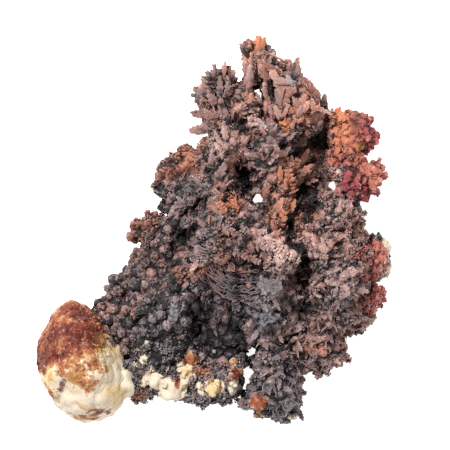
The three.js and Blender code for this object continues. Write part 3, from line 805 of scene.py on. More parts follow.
def knoll(rng: np.random.Generator) -> Shape:
    """A smooth, uneven rise.

    Args:
        rng: Source of all that is random here.

    Returns:
        The rise.
    """
    core = ball(4)
    seed = rng.uniform(0, SEEDS)
    swell, grains = waves(core.points, 0.9, seed), domes(core.points, 0.3, seed)[0]
    core.points *= (0.44 + 0.24 * swell + 0.03 * grains)[:, None] * rng.uniform(0.85, 1.1, 3)
    # painted light on the swells and painted shade in the dips
    core.height = np.clip(0.6 + 0.5 * swell + 0.3 * grains, 0, 1)
    return core


def plate(rng: np.random.Generator) -> Shape:
    """A thin, ragged plate, folded and cupped like an oyster shell.

    Args:
        rng: Source of all that is random here.

    Returns:
        The plate, from its root towards +Y.
    """
    count = PLATE_CORNERS
    lobes, cup, half = int(rng.integers(3, 6)), rng.uniform(0.1, 0.35), 0.06
    turns = np.arange(count) * math.tau / count
    ragged = 1 + 0.16 * np.sin(lobes * turns + rng.uniform(0, 6)) + rng.uniform(-0.16, 0.16, count)
    reach = 0.42 * ragged * np.where(np.sin(turns) < 0, 0.8, 1.0)
    folds = 0.06 * np.sin(2 * lobes * turns + rng.uniform(0, 6)) + rng.uniform(-0.03, 0.03, count)
    rings = [
        np.stack([
            share * reach * np.cos(turns), 0.4 + share * reach * np.sin(turns), lift + share * folds,
        ], axis=1)
        for share, lift in ((1.0, cup), (0.9, cup + 0.03), (0.6, 0.55 * cup + half), (0.3, half))
    ]
    points = np.concatenate([*rings, [[0, 0.4, half], [0, 0.4, -2 * half]]])
    below = [face[::-1] for face in cone(0, count, 4 * count + 1)]
    # painted light on the rim and painted shade towards the root and underneath
    heights = [rng.uniform(low, high, count) for low, high in ((0.7, 1), (0.6, 1), (0.4, 0.9), (0.4, 0.8))]
    faces = np.array([*sleeve(4, count), *cone(3 * count, count, 4 * count), *below])
    return Shape(points, faces, np.concatenate([*heights, [0.6, 0.1]])).facing_out()


class Form(Enum):
    """The small forms that grow on a piece."""

    CRUMB = "crumb"
    FLORET = "floret"
    LEAF = "leaf"
    TUFT = "tuft"
    SPRIG = "sprig"
    GRAPE = "grape"
    PLATE = "plate"
    LUMP = "lump"
    KNOLL = "knoll"

    @property
    def is_round(self) -> bool:
        """Tells whether the form reaches as far to all sides."""
        return self in (Form.CRUMB, Form.FLORET, Form.GRAPE, Form.LUMP, Form.KNOLL)

    def variants(self, count: int, rng: np.random.Generator) -> list[Shape]:
        """Makes a few shapes of this form, no two alike."""
        return [MAKERS[self](rng) for _ in range(count)]


MAKERS: dict[Form, Callable[[np.random.Generator], Shape]] = {
    Form.CRUMB: crumb, Form.FLORET: floret, Form.LEAF: leaf, Form.TUFT: tuft, Form.SPRIG: sprig,
    Form.GRAPE: grape, Form.PLATE: plate, Form.LUMP: lump, Form.KNOLL: knoll,
}


# ---------------------------------------------------------------- ground to plant on
class Sky:
    """All solids together, to tell how open to the light a place is."""

    ABOVE = 100.0  # a height over every solid
    RIM = 10.0  # the height at which most solids reach out furthest
    REACH = 9.0  # how far away a wall still shades a place
    SEAM = 0.7  # how near a wall must be in front of a place for nothing to grow there
    LIGHT_START, ROOM_START = 0.6, 0.35  # how far over a place the looks for light and for room begin
    LEAN = 1.1  # how strongly a ray for light leans to the way that the surface faces
    RAYS = unit(np.array([[x, y, z] for x in (-1, 1) for y in (-1, 1) for z in (-1, 1)], float))
    HOLE_RIMS = tuple((x, y, radius + 0.8) for x, y, radius in HOLES)  # nothing is sown in these

    def __init__(self) -> None:
        """Gathers the solids."""
        points, faces = [], []
        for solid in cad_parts.values():
            start = len(points)
            points += [v.co / MM for v in solid.data.vertices]
            faces += [[start + i for i in p.vertices] for p in solid.data.polygons]
        self.tree = BVHTree.FromPolygons(points, faces)

    def is_clear(self, starts: np.ndarray, ways: np.ndarray, reach: float) -> np.ndarray:
        """Tells which rays meet no wall within reach."""
        rays = zip(starts.tolist(), ways.tolist())
        return np.array([self.tree.ray_cast(start, way, reach)[0] is None for start, way in rays], bool)

    def openness(self, origins: np.ndarray, normals: np.ndarray) -> np.ndarray:
        """Gives the share of the view from each point that no wall blocks.

        Args:
            origins: Points on a surface.
            normals: The ways that the surface faces there.

        Returns:
            A share from 0 to 1 for each point.
        """
        starts = origins + self.LIGHT_START * normals
        clear = [self.is_clear(starts, unit(self.LEAN * normals + ray), self.REACH) for ray in self.RAYS]
        return np.sum(clear, axis=0) / len(self.RAYS)

    def is_free(self, origins: np.ndarray, normals: np.ndarray) -> np.ndarray:
        """Tells at which points there is room for something to grow outwards."""
        has_room = self.is_clear(origins + self.ROOM_START * normals, normals, self.SEAM)
        return has_room & ~in_rounds(origins, self.HOLE_RIMS)

    def top(self, x: float, y: float) -> Vector | None:
        """Gives the highest solid point at a place, if there is one."""
        return self.tree.ray_cast((x, y, self.ABOVE), DOWN)[0]

    def is_over_solid(self, points: np.ndarray) -> np.ndarray:
        """Tells which points have a solid on the upright line through them."""
        return np.array([self.top(x, y) is not None for x, y in points[:, :2].tolist()], bool)

    def footing(self, x: float, y: float) -> Vector:
        """Gives the highest solid point at a place, or the nearest one where there is none below it."""
        return self.top(x, y) or self.tree.find_nearest((x, y, self.RIM))[0]


@dataclass(frozen=True)
class Sowing:
    """One small form, sown over a piece."""

    form: Form
    spacing: float  # between neighbours
    sizes: tuple[float, float]  # smallest and largest
    lifts: tuple[float, float] = (10.0, 60.0)  # degrees that it stands up from the surface
    wander: float = 35.0  # degrees that it strays from the flow
    roll: float = 35.0  # degrees that it turns about its own length
    sink: float = 0.12  # share of its size that lies under the surface
    overhang: float = 0.4  # share of its length that may reach out past all solids, seen from above
    underside: float = 0.25  # how much of it grows on the underside
    variants: int = 8
    finish: int = 0  # which of the piece's finishes it has
    bare: tuple[Round, ...] = ()  # places where none grows
    within: tuple[Round, ...] = ()  # the only places where it grows, if any are given

    def sow(self, ground: Shape, crust: "Crust", sky: Sky, rng: np.random.Generator) -> list[Shape]:
        """Plants the form all over a piece's crust.

        Args:
            ground: The crust's shape.
            crust: Tells how high a place lies on its lump.
            sky: Tells where there is light and room.
            rng: Source of all that is random here.

        Returns:
            The planted forms.
        """
        origins, normals = self.spots(ground, rng)
        free = sky.is_free(origins, normals) & ~in_rounds(origins, self.bare)
        if self.within:
            free &= in_rounds(origins, self.within)
        origins, normals = origins[free], normals[free]
        rise, tones = crust.lumps(origins)
        # painted light: less where walls close a place in and in the cracks between lumps
        light = np.clip(1.25 * sky.openness(origins, normals), 0, 1) * crust.lightness(rise)
        places = self.places(origins, normals, light, rng)
        sizes = rng.uniform(*self.sizes, len(origins))
        fits = self.has_room(places, sizes, sky)
        places, normals, tones, sizes = places.some(fits), normals[fits], tones[fits], sizes[fits]
        places.origins -= normals * (self.sink * sizes)[:, None]
        shades = np.clip(0.65 * tones + 0.35 * rng.uniform(0, 1, len(sizes)), 0, 1)
        kinds = rng.integers(0, self.variants, len(sizes))
        grown = []
        for i, shape in enumerate(self.form.variants(self.variants, rng)):
            some = kinds == i
            if np.any(some):
                shape.finish = self.finish
                grown.append(shape.planted(places.some(some), sizes[some], shades[some]))
        return grown

    def has_room(self, places: Places, sizes: np.ndarray, sky: Sky) -> np.ndarray:
        """Tells which forms stay in the solids' box, out of the holes and near enough to the solids.

        Args:
            places: Where the forms are.
            sizes: Their sizes.
            sky: Tells where the solids are.

        Returns:
            True for each form that may stay.
        """
        growth = places.turns[:, :, 1]
        if self.form.is_round:
            return fits_round(places.origins + growth * (self.sink * sizes)[:, None], sizes / 2)
        tips = places.origins + growth * sizes[:, None]
        inner = places.origins + growth * ((1 - self.overhang) * sizes)[:, None]
        return fits_round(tips, 0 * sizes) & fits_round(inner, 0.2 * sizes) & sky.is_over_solid(inner)

    def spots(self, ground: Shape, rng: np.random.Generator) -> tuple[np.ndarray, np.ndarray]:
        """Gives points spread evenly over a crust, and the normals there.

        Args:
            ground: The crust's shape.
            rng: Source of all that is random here.

        Returns:
            The points and their normals.
        """
        a, b, c = (ground.points[ground.faces[:, i]] for i in range(3))
        across = np.cross(b - a, c - a)
        areas = np.linalg.norm(across, axis=1) / 2
        outward = unit(across)
        weights = areas * np.where(outward[:, 2] < -0.2, self.underside, 1.0)
        tries = int(2.4 * weights.sum() / self.spacing**2)
        picked = rng.choice(len(areas), tries, p=weights / weights.sum())
        u, v = rng.uniform(0, 1, (2, tries))
        u, v = np.where(u + v > 1, 1 - u, u), np.where(u + v > 1, 1 - v, v)
        points = a[picked] + u[:, None] * (b - a)[picked] + v[:, None] * (c - a)[picked]
        kept = self.thinned(points)
        return points[kept], outward[picked][kept]

    def thinned(self, points: np.ndarray) -> list[int]:
        """Picks points that lie no nearer to each other than the spacing.

        Args:
            points: The points to pick from.

        Returns:
            The numbers of the points that are kept.
        """
        cells: dict[tuple[int, int, int], list[int]] = {}
        kept = []
        keys = np.floor(points / self.spacing).astype(int)
        around = [(x, y, z) for x in (-1, 0, 1) for y in (-1, 0, 1) for z in (-1, 0, 1)]
        nearest = self.spacing**2
        listed = points.tolist()
        for i, (kx, ky, kz) in enumerate(keys.tolist()):
            x, y, z = listed[i]
            near = (listed[j] for dx, dy, dz in around for j in cells.get((kx + dx, ky + dy, kz + dz), ()))
            if all((x - a) ** 2 + (y - b) ** 2 + (z - c) ** 2 > nearest for a, b, c in near):
                cells.setdefault((kx, ky, kz), []).append(i)
                kept.append(i)
        return kept

    def places(
        self, origins: np.ndarray, normals: np.ndarray, openness: np.ndarray, rng: np.random.Generator
    ) -> Places:
        """Turns each form to run with the flow, stand up from the surface and roll a little.

        Args:
            origins: Where the forms are rooted.
            normals: The ways that the surface faces there.
            openness: How light it is there.
            rng: Source of all that is random here.

        Returns:
            The places with their turns.
        """
        count = len(origins)
        stray = rng.normal(0, math.radians(self.wander), count)
        level = flow_at(origins)
        flow = np.stack([
            level[:, 0] * np.cos(stray) - level[:, 1] * np.sin(stray),
            level[:, 0] * np.sin(stray) + level[:, 1] * np.cos(stray),
            rng.normal(0, 0.15, count),
        ], axis=1)
        tangent = unit(flow - np.einsum("ij,ij->i", flow, normals)[:, None] * normals)
        lift = np.radians(rng.uniform(*self.lifts, count))[:, None]
        along = unit(np.cos(lift) * tangent + np.sin(lift) * normals)
        side = unit(np.cross(along, normals))
        face = np.cross(side, along)
        roll = rng.normal(0, math.radians(self.roll), count)[:, None]
        side, face = np.cos(roll) * side - np.sin(roll) * face, np.sin(roll) * side + np.cos(roll) * face
        return Places(origins.copy(), np.stack([side, along, face], axis=2), openness)


@dataclass(frozen=True)
class Planting:
    """One small form, set at a place seen from above."""

    form: Form
    x: float
    y: float
    size: float
    heading: float = 90.0  # degrees from +X
    lift: float = 15.0  # degrees up from level
    rise: float = 0.3  # how far its root lies above the surface
    # painted light, 1 in the open and less in shade
    light: float = 1.0
    shade: float = 0.5
    finish: int = 0

    def plant(self, sky: Sky, rng: np.random.Generator) -> Shape:
        """Gives the form in its place.

        Args:
            sky: Tells how high the surface is.
            rng: Source of all that is random here.

        Returns:
            The planted form.
        """
        heading, lift = math.radians(self.heading), math.radians(self.lift)
        along = [math.cos(heading) * math.cos(lift), math.sin(heading) * math.cos(lift), math.sin(lift)]
        side = unit(np.cross(along, [0, 0, 1]))
        turn = np.stack([side, along, np.cross(side, along)], axis=1)
        origin = np.array([sky.footing(self.x, self.y)]) + (0, 0, self.rise)
        place = Places(origin, turn[None], np.array([self.light]))
        shape = self.form.variants(1, rng)[0]
        shape.finish = self.finish
        return shape.planted(place, np.array([self.size]), np.array([self.shade]))


def planted(names: str, *rows: Sequence[object], **same: object) -> tuple[Planting, ...]:
    """Gives one planting for each row.

    Args:
        names: What the values in a row are, in order.
        rows: Values of one planting each.
        same: What all of them have alike.

    Returns:
        The plantings, in order.
    """
    return tuple(Planting(**dict(zip(names.split(), row, strict=True)), **same) for row in rows)


@dataclass(frozen=True)
class Strands:
    """A bundle of thin strands that sweep over the surface side by side."""

    count: int
    spread: float  # from the first strand to the last
    width: float
    path: tuple[tuple[float, float], ...]  # x and y of the places that it passes
    rise: float = 0.9
    steps: int = 12

    def plant(self, sky: Sky, rng: np.random.Generator) -> Shape:
        """Gives the strands in their place."""
        asides = [(i / max(1, self.count - 1) - 0.5) * self.spread for i in range(self.count)]
        return joined([self.strand(sky, aside, rng) for aside in asides])

    def strand(self, sky: Sky, aside: float, rng: np.random.Generator) -> Shape:
        """Makes one strand, a square tube that thins out at both ends.

        Args:
            sky: Tells how high the surface is.
            aside: How far it runs to the left of the path.
            rng: Source of all that is random here.

        Returns:
            The strand.
        """
        knots = np.array(self.path, float)
        start, end = sorted(rng.uniform(0, 1, 2) * (0.3, 0.3) + (0.0, 0.7))
        at = np.linspace(start, end, self.steps) * (len(knots) - 1)
        level = np.stack([np.interp(at, np.arange(len(knots)), knots[:, k]) for k in (0, 1)], axis=1)
        for _ in range(2):
            level[1:-1] = (level[:-2] + 2 * level[1:-1] + level[2:]) / 4
        ways = unit(np.gradient(level, axis=0))
        sides = np.stack([-ways[:, 1], ways[:, 0]], axis=1)
        level = level + sides * (aside + rng.uniform(-0.5, 0.5, (self.steps, 1)))
        arch = np.clip(2 * np.sin(np.linspace(0, math.pi, self.steps)), 0, 1)
        arch *= self.rise + rng.uniform(-0.2, 0.3)
        heights = np.array([sky.footing(x, y).z for x, y in level]) + arch
        for _ in range(4):
            heights[1:-1] = (heights[:-2] + heights[1:-1] + heights[2:]) / 3
        middle = np.column_stack([level, heights])
        thick = self.width / 2 * np.sin(np.linspace(0.15, math.pi - 0.15, self.steps))[:, None]
        out = np.column_stack([sides, np.zeros(self.steps)]) * thick
        up = np.array([0, 0, 1.0]) * thick
        rings = np.stack([middle - out, middle + up, middle + out, middle - up], axis=1)
        last = 4 * (self.steps - 1)
        ends = [[0, 2, 1], [0, 3, 2], [last, last + 1, last + 2], [last, last + 2, last + 3]]
        faces = np.array([*sleeve(self.steps, 4), *ends])
        # painted light along the top of a strand and painted shade under it
        height = np.tile([0.4, 0.7, 0.4, 0.1], self.steps)
        return Shape(rings.reshape(-1, 3), faces, height, rng.uniform(0, 1)).facing_out()


@dataclass(frozen=True)
class Crust:
    """How a solid's skin is made rough: in lumps with cracks between them, and granules on each lump."""

    cell: float = 0.55  # edge of the mesh's squares
    easing: int = 6  # rounds that ease the solid's facets
    lump: float = 3.3  # from one lump to the next
    lump_height: float = 2.0
    grain: float = 1.15  # from one granule to the next
    grain_height: float = 0.45
    wave: float = 6.0  # from one swell to the next
    wave_height: float = 0.0
    swell: float = 0.2  # how far it grows out all over, which closes the gaps between pieces
    light: float = 0.95  # painted light between the small forms
    gloom: float = 0.1  # share of the painted light that is left in a crack
    seed: float = 1.0
    pole: tuple[float, float] | None = None  # where streaks run out from, instead of lumps
    stretch: float = 2.6  # how much longer than wide a streak is

    def lumps(self, points: np.ndarray) -> tuple[np.ndarray, np.ndarray]:
        """Gives how high each point lies on its lump, from 0 to 1, and the lump's tone."""
        return domes(self.laid_out(points), self.lump, self.seed)

    def lightness(self, rise: np.ndarray) -> np.ndarray:
        """Gives how light it is at a height on a lump, from gloom in a crack to 1 on top."""
        return self.gloom + (1 - self.gloom) * rise

    def laid_out(self, points: np.ndarray) -> np.ndarray:
        """Gives the points as the pattern of lumps sees them, squeezed along the streaks.

        Args:
            points: Where, in millimetres.

        Returns:
            The points to look the pattern up at.
        """
        if self.pole is None:
            return points
        x, y = points[:, 0] - self.pole[0], points[:, 1] - self.pole[1]
        arc = 0.7 * np.hypot(x, y).mean() * np.arctan2(x, y)
        return np.stack([arc, np.hypot(x, y) / self.stretch, points[:, 2]], axis=1)

    def shape(self, node: str) -> Shape:
        """Makes the rough skin of a solid.

        Args:
            node: The solid's name.

        Returns:
            The skin, with painted shade in its cracks and painted light on its lumps.
        """
        points, faces, normals = self.eased(node)
        rise, tones = self.lumps(points)
        grains = domes(points, self.grain, self.seed)[0]
        swells = waves(points, self.wave, self.seed) + 0.4 * waves(points, 0.35 * self.wave, self.seed)
        push = self.swell + self.lump_height * (rise - 0.75) + self.grain_height * (grains - 0.5)
        push += self.wave_height * swells
        height = self.light * np.clip((0.2 + 0.7 * grains**2) * self.lightness(rise), 0, 1)
        return Shape(kept_off_holes(points + normals * push[:, None]), faces, height, tones, True)

    def eased(self, node: str) -> tuple[np.ndarray, np.ndarray, np.ndarray]:
        """Gives points, triangles and normals of a solid, meshed evenly with its facets eased.

        Args:
            node: The solid's name.

        Returns:
            Points in millimetres, triangles, and unit normals of the points.
        """
        copy = linked(bpy.data.objects.new("crust_copy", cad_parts[node].data.copy()))
        low, high = (edge(np.array(copy.bound_box) / MM, axis=0)[:2] for edge in (np.min, np.max))
        reached = [
            (x, y, radius) for x, y, radius in HOLES
            if (low - radius < (x, y)).all() and (high + radius > (x, y)).all()
        ]
        drill = hole_drill(reached) if reached else None
        if drill:
            cut = copy.modifiers.new("cut", "BOOLEAN")
            cut.operation, cut.solver, cut.object, cut.use_self = "DIFFERENCE", "EXACT", drill, True
        remesh = copy.modifiers.new("even", "REMESH")
        remesh.mode, remesh.voxel_size = "VOXEL", self.cell * MM
        ease = copy.modifiers.new("ease", "SMOOTH")
        ease.iterations, ease.factor = self.easing, 0.5
        mesh = copy.evaluated_get(bpy.context.evaluated_depsgraph_get()).to_mesh()
        mesh.calc_loop_triangles()
        points, normals = np.empty((2, 3 * len(mesh.vertices)))
        faces = np.empty(3 * len(mesh.loop_triangles), int)
        mesh.vertices.foreach_get("co", points)
        mesh.vertices.foreach_get("normal", normals)
        mesh.loop_triangles.foreach_get("vertices", faces)
        bpy.data.objects.remove(copy)
        if drill:
            bpy.data.objects.remove(drill)
        return points.reshape(-1, 3) / MM, faces.reshape(-1, 3), normals.reshape(-1, 3)


# ---------------------------------------------------------------- finishes
@dataclass(frozen=True)
class TarnishedCopper:
    """Native copper crystals, grown in rock and tarnished in the ground."""

    name: str = "native_copper_tarnished"
    # painted shade for the crevices, the body's own colour, and painted light for the crests, each from cold
    # to warm
    crevice_shade: tuple[str, str, str] = ("#0d0b0d", "#170f10", "#220f0c")
    body: tuple[str, str, str] = ("#5f585c", "#856763", "#a0644f")
    lit_crest: tuple[str, str, str] = ("#8f8688", "#b19a93", "#c0927e")
    bloom: str = "#c9a8a0"
    rust: str = "#bb6f48"
    silver: str = "#7d8186"

    def material(self) -> Material:
        """Builds the material: dull oxide with painted shade in the crevices, and faintly metallic crests
        with painted light.

        Returns:
            The material.
        """
        paint = Painter(self.name)
        add = paint.add
        height, shade, warmth, bloom, rust, silver, soot = paint.read(*Trait)
        # drifts of colour a centimetre apart, patches of two millimetres, and crumbs half a millimetre across
        drift, patches = add("TexNoise", paint.grains(7.0)), add("TexNoise", paint.grains(1.8))
        crumbs = add("TexNoise", paint.grains(0.55, 2.0, 0.6))
        warmth = paint.nudged(warmth, (drift, 0.7), (shade, 0.45), (patches, 0.8))
        height = paint.nudged(height, (crumbs, 0.5), (shade, 0.3))
        # painted shade in the cavities darkens all there
        height = add("Math", (height, add("MapRange", (soot, 0.0, 1.0, 1.0, 0.0), **CLIMB)), **TIMES)
        deep, middle, high = (
            add("ValToRGB", (warmth,), tuple(zip(THIRDS, colours)))
            for colours in (self.crevice_shade, self.body, self.lit_crest)
        )
        # painted shade low down, the body's own colour in between, and painted light on the crests
        lit = add("MapRange", (height, 0.08, 0.34), **CLIMB)
        crested = add("MapRange", (height, 0.36, 0.9), **CLIMB)
        colour = add("Mix", {0: lit, 6: deep, 7: middle}, **COLOURS)
        colour = add("Mix", {0: crested, 6: colour, 7: high}, **COLOURS)
        raised = add("MapRange", (height, 0.12, 0.5), **CLIMB)
        for trait, coat in ((bloom, self.bloom), (rust, self.rust), (silver, self.silver)):
            colour = add("Mix", {0: add("Math", (trait, raised), **TIMES), 6: colour, 7: coat}, **COLOURS)
        pores = add("TexNoise", paint.grains(0.45, 2.0, 0.7))
        return paint.finish({
            "Base Color": colour,
            "Metallic": add("MapRange", (height, 0.3, 1.0, 0.0, 0.45), **CLIMB),
            "Roughness": add("MapRange", (crumbs, 0.3, 0.7, 0.75, 0.45), **CLIMB),
            "Normal": add("Bump", {"Height": pores, "Strength": 1.0, "Distance": 0.25 * MM}),
        })


@dataclass(frozen=True)
class EarthyCuprite:
    """Copper oxide with clay, grown as crumbly lumps."""

    name: str = "cuprite_earthy"
    # painted shade for the pits and cavities; the crests below take painted light
    crevice_shade: str = "#3a1815"
    body: tuple[str, str, str] = ("#8f4043", "#a86055", "#be7452")
    lit_crest: tuple[str, str, str] = ("#c98f8a", "#d3a191", "#dba685")
    ochre: str = "#cf9a4a"
    glint: str = "#ead8c6"

    def material(self) -> Material:
        """Builds the material: brick red to orange earth, dull all over, with painted shade in its pits.

        Returns:
            The material.
        """
        paint = Painter(self.name)
        add = paint.add
        height, shade, warmth = paint.read(Trait.HEIGHT, Trait.SHADE, Trait.WARMTH)
        bloom, rust, soot = paint.read(Trait.BLOOM, Trait.RUST, Trait.SOOT)
        drift, crumbs = add("TexNoise", paint.grains(5.0)), add("TexNoise", paint.grains(0.8, 3.0, 0.65))
        warmth = paint.nudged(warmth, (drift, 0.8))
        height = paint.nudged(height, (crumbs, 0.7), (shade, 0.25))
        middle, high = (
            add("ValToRGB", (warmth,), tuple(zip(THIRDS, colours))) for colours in (self.body, self.lit_crest)
        )
        raised = add("MapRange", (height, 0.0, 0.3), **CLIMB)
        colour = add("Mix", {0: raised, 6: self.crevice_shade, 7: middle}, **COLOURS)
        colour = add("Mix", {0: add("MapRange", (height, 0.5, 1.0), **CLIMB), 6: colour, 7: high}, **COLOURS)
        # ochre, a pale glint, and painted shade in the cavities
        for trait, coat in ((rust, self.ochre), (bloom, self.glint), (soot, self.crevice_shade)):
            colour = add("Mix", {0: trait, 6: colour, 7: coat}, **COLOURS)
        pores = add("TexNoise", paint.grains(0.5, 2.0, 0.7))
        return paint.finish({
            "Base Color": colour,
            "Roughness": add("MapRange", (crumbs, 0.3, 0.7, 0.85, 0.6), **CLIMB),
            "Normal": add("Bump", {"Height": pores, "Strength": 1.0, "Distance": 0.2 * MM}),
        })


@dataclass(frozen=True)
class SugaryCalcite:
    """Fine-grained calcite, stained by iron."""

    name: str = "calcite_sugary"
    clean: str = "#cdbfaa"
    stains: tuple[str, str, str, str] = ("#cfae82", "#a56e48", "#874530", "#5c241b")
    ochre: str = "#d3ae66"
    fleck: str = "#dcbfa9"
    dirt: str = "#5a2a18"
    # rust-brown for the pits, partly rust gathered there and partly painted shade
    pit_rust_and_shade: str = "#6b4630"

    def material(self) -> Material:
        """Builds the material: cream sugar grains, with rust gathered in tan, orange and red-brown drifts.

        Returns:
            The material.
        """
        paint = Painter(self.name)
        add = paint.add
        height, shade, stain, ochre, dirt = paint.read(
            Trait.HEIGHT, Trait.SHADE, Trait.WARMTH, Trait.BLOOM, Trait.RUST
        )
        drift, flecks = add("TexNoise", paint.grains(3.0, 3.0)), add("TexNoise", paint.grains(1.1, 3.0, 0.7))
        crumbs = add("TexNoise", paint.grains(0.8, 2.0, 0.6))
        stain = paint.nudged(stain, (drift, 0.9))
        mottle = add("Math", (crumbs, add("MapRange", (stain, 0.1, 0.5), **CLIMB)), **TIMES)
        stain = paint.nudged(paint.nudged(stain, (mottle, 0.6), middle=0.4), (shade, 0.45))
        stained = add("MapRange", (stain, 0.05, 0.3), **CLIMB)
        tints = add("ValToRGB", (stain,), tuple(zip((0.15, 0.4, 0.65, 0.95), self.stains)))
        colour = add("Mix", {0: stained, 6: self.clean, 7: tints}, **COLOURS)
        flecked = add("Math", (stained, add("MapRange", (flecks, 0.54, 0.72, 0.0, 0.5), **CLIMB)), **TIMES)
        colour = add("Mix", {0: flecked, 6: colour, 7: self.fleck}, **COLOURS)
        colour = add("Mix", {0: ochre, 6: colour, 7: self.ochre}, **COLOURS)
        dirt = paint.nudged(dirt, (drift, 1.6), (crumbs, 0.6))
        dirt = add("MapRange", (dirt, 0.45, 0.85, 0.0, 0.9), **CLIMB)
        colour = add("Mix", {0: dirt, 6: colour, 7: self.dirt}, **COLOURS)
        # the low places take the pit colour, more where the calcite is stained: rust in the pits, with
        # painted shade
        depth = add("MapRange", (stain, 0.05, 0.5, 0.1, 0.75), **CLIMB)
        in_pit = add("Mix", {0: depth, 6: colour, 7: self.pit_rust_and_shade}, **COLOURS)
        raised = add("MapRange", (height, 0.0, 0.35), **CLIMB)
        colour = add("Mix", {0: raised, 6: in_pit, 7: colour}, **COLOURS)
        # sugar grains roughen the stained part, while the clean part is smooth
        sugar = add("Math", (crumbs, add("MapRange", (stain, 0.05, 0.4, 0.1, 1.0), **CLIMB)), **TIMES)
        normal = add("Bump", {"Height": sugar, "Strength": 1.0, "Distance": 0.3 * MM})
        return paint.finish({
            "Base Color": colour, "Roughness": 0.62, "Specular IOR Level": 0.2, "Normal": normal,
        })


# ---------------------------------------------------------------- pieces
SHOWING_WOBBLE, SHOWING_DRIFT = 2.4, 3.2  # how far a bare round's edge strays, and from one bay to the next


@dataclass
class Piece:
    """A piece of the specimen that stands for one solid."""

    node: str
    slot: str
    seed: int
    finishes: tuple[Material, ...]
    crust: Crust = Crust()
    sowings: tuple[Sowing, ...] = ()
    warmth: float = 0.5
    plantings: tuple[Planting | Strands, ...] = ()
    stains: tuple[Stain, ...] = STAINS
    showing: tuple[Round, ...] = ()  # where the crust shows its first finish; no rounds mean all over

    def build(self, sky: Sky) -> bpy.types.Object:
        """Makes the crust and plants it.

        Args:
            sky: Tells where there is light and room.

        Returns:
            The object that stands for the solid.
        """
        rng = np.random.default_rng(self.seed)
        crust = replace(self.crust, seed=float(self.seed))
        ground = crust.shape(self.node)
        grown = [shape for sowing in self.sowings for shape in sowing.sow(ground, crust, sky, rng)]
        grown += [planting.plant(sky, rng) for planting in self.plantings]
        return self.into_mesh([ground, *grown])

    def finish_of_faces(self, shapes: list[Shape], points: np.ndarray, faces: np.ndarray) -> np.ndarray:
        """Gives which finish each face has, where the crust takes the second one outside the bare rounds.

        Args:
            shapes: The crust and then all that grows on it.
            points: Points of all of them.
            faces: Triangles of all of them.

        Returns:
            A finish's number for each triangle.
        """
        given = np.repeat([s.finish for s in shapes], [len(s.faces) for s in shapes])
        if self.showing:
            crust = slice(0, len(shapes[0].faces))
            places = points[faces[crust, 0]]
            drifts = [waves(places, SHOWING_DRIFT, seed) for seed in (3.0, 17.0, 31.0)]
            given[crust] = ~in_rounds(places + SHOWING_WOBBLE * np.stack(drifts, axis=1), self.showing)
        return given

    def into_mesh(self, shapes: list[Shape]) -> bpy.types.Object:
        """Joins shapes into one object that stands for the solid, with the traits that its material reads.

        Args:
            shapes: The crust and then all that grows on it.

        Returns:
            The object.
        """
        whole = joined(shapes)
        points = pressed_in(whole.points)
        mesh = bpy.data.meshes.new(f"{self.node}_skin")
        mesh.vertices.add(len(points))
        mesh.vertices.foreach_set("co", (points * MM).ravel())
        mesh.loops.add(whole.faces.size)
        mesh.loops.foreach_set("vertex_index", whole.faces.ravel())
        mesh.polygons.add(len(whole.faces))
        mesh.polygons.foreach_set("loop_start", np.arange(0, whole.faces.size, 3))
        mesh.update(calc_edges=True)
        is_sharp = np.concatenate([np.full(len(s.faces), not s.is_smooth) for s in shapes])
        mesh.attributes.new("sharp_face", "BOOLEAN", "FACE").data.foreach_set("value", is_sharp)
        mesh.polygons.foreach_set("material_index", self.finish_of_faces(shapes, points, whole.faces))
        for trait, values in self.traits(whole).items():
            mesh.attributes.new(trait.value, "FLOAT", "POINT").data.foreach_set("value", values)
        for finish in self.finishes:
            mesh.materials.append(finish)
        return linked(bpy.data.objects.new(f"{self.node}_skin", mesh))

    def traits(self, whole: Shape) -> dict[Trait, np.ndarray]:
        """Gives each point's traits: its own height and shade, and what the stains give it.

        Args:
            whole: The piece as one shape.

        Returns:
            A value from 0 to 1 for each point, by trait.
        """
        given = {trait: np.zeros(len(whole.points)) for trait in Trait}
        given[Trait.HEIGHT], given[Trait.SHADE] = whole.height, whole.shade
        given[Trait.WARMTH] += self.warmth
        wobble = np.stack([waves(whole.points, STAIN_DRIFT, seed) for seed in (3.1, 7.7)], axis=1)
        strayed = whole.points[:, :2] + STAIN_WOBBLE * wobble
        for stain in self.stains:
            share = stain.weigh(strayed)
            given[stain.trait] += share * (stain.level - given[stain.trait])
        return given

    def make(self, sky: Sky) -> None:
        """Builds and dresses the piece, ties it to the root body and hides its solid.

        Args:
            sky: Tells where there is light and room.
        """
        skin = self.build(sky)
        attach(skin, "root")
        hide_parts(self.node)
        LOG.info("%s: %d triangles", skin.name, len(skin.data.polygons))


# ---------------------------------------------------------------- studio
@dataclass(frozen=True)
class Window:
    """A square soft light, in metres and watts."""

    name: str
    place: tuple[float, float, float]
    size: float
    power: float

    def hang(self, target: Vector) -> None:
        """Hangs the light so that it looks at a place.

        Args:
            target: The place.
        """
        lamp = bpy.data.lights.new(self.name, "AREA")
        lamp.size, lamp.energy = self.size, self.power
        light = linked(bpy.data.objects.new(self.name, lamp))
        light.location = self.place
        light.rotation_euler = (target - Vector(self.place)).to_track_quat("-Z", "Y").to_euler()


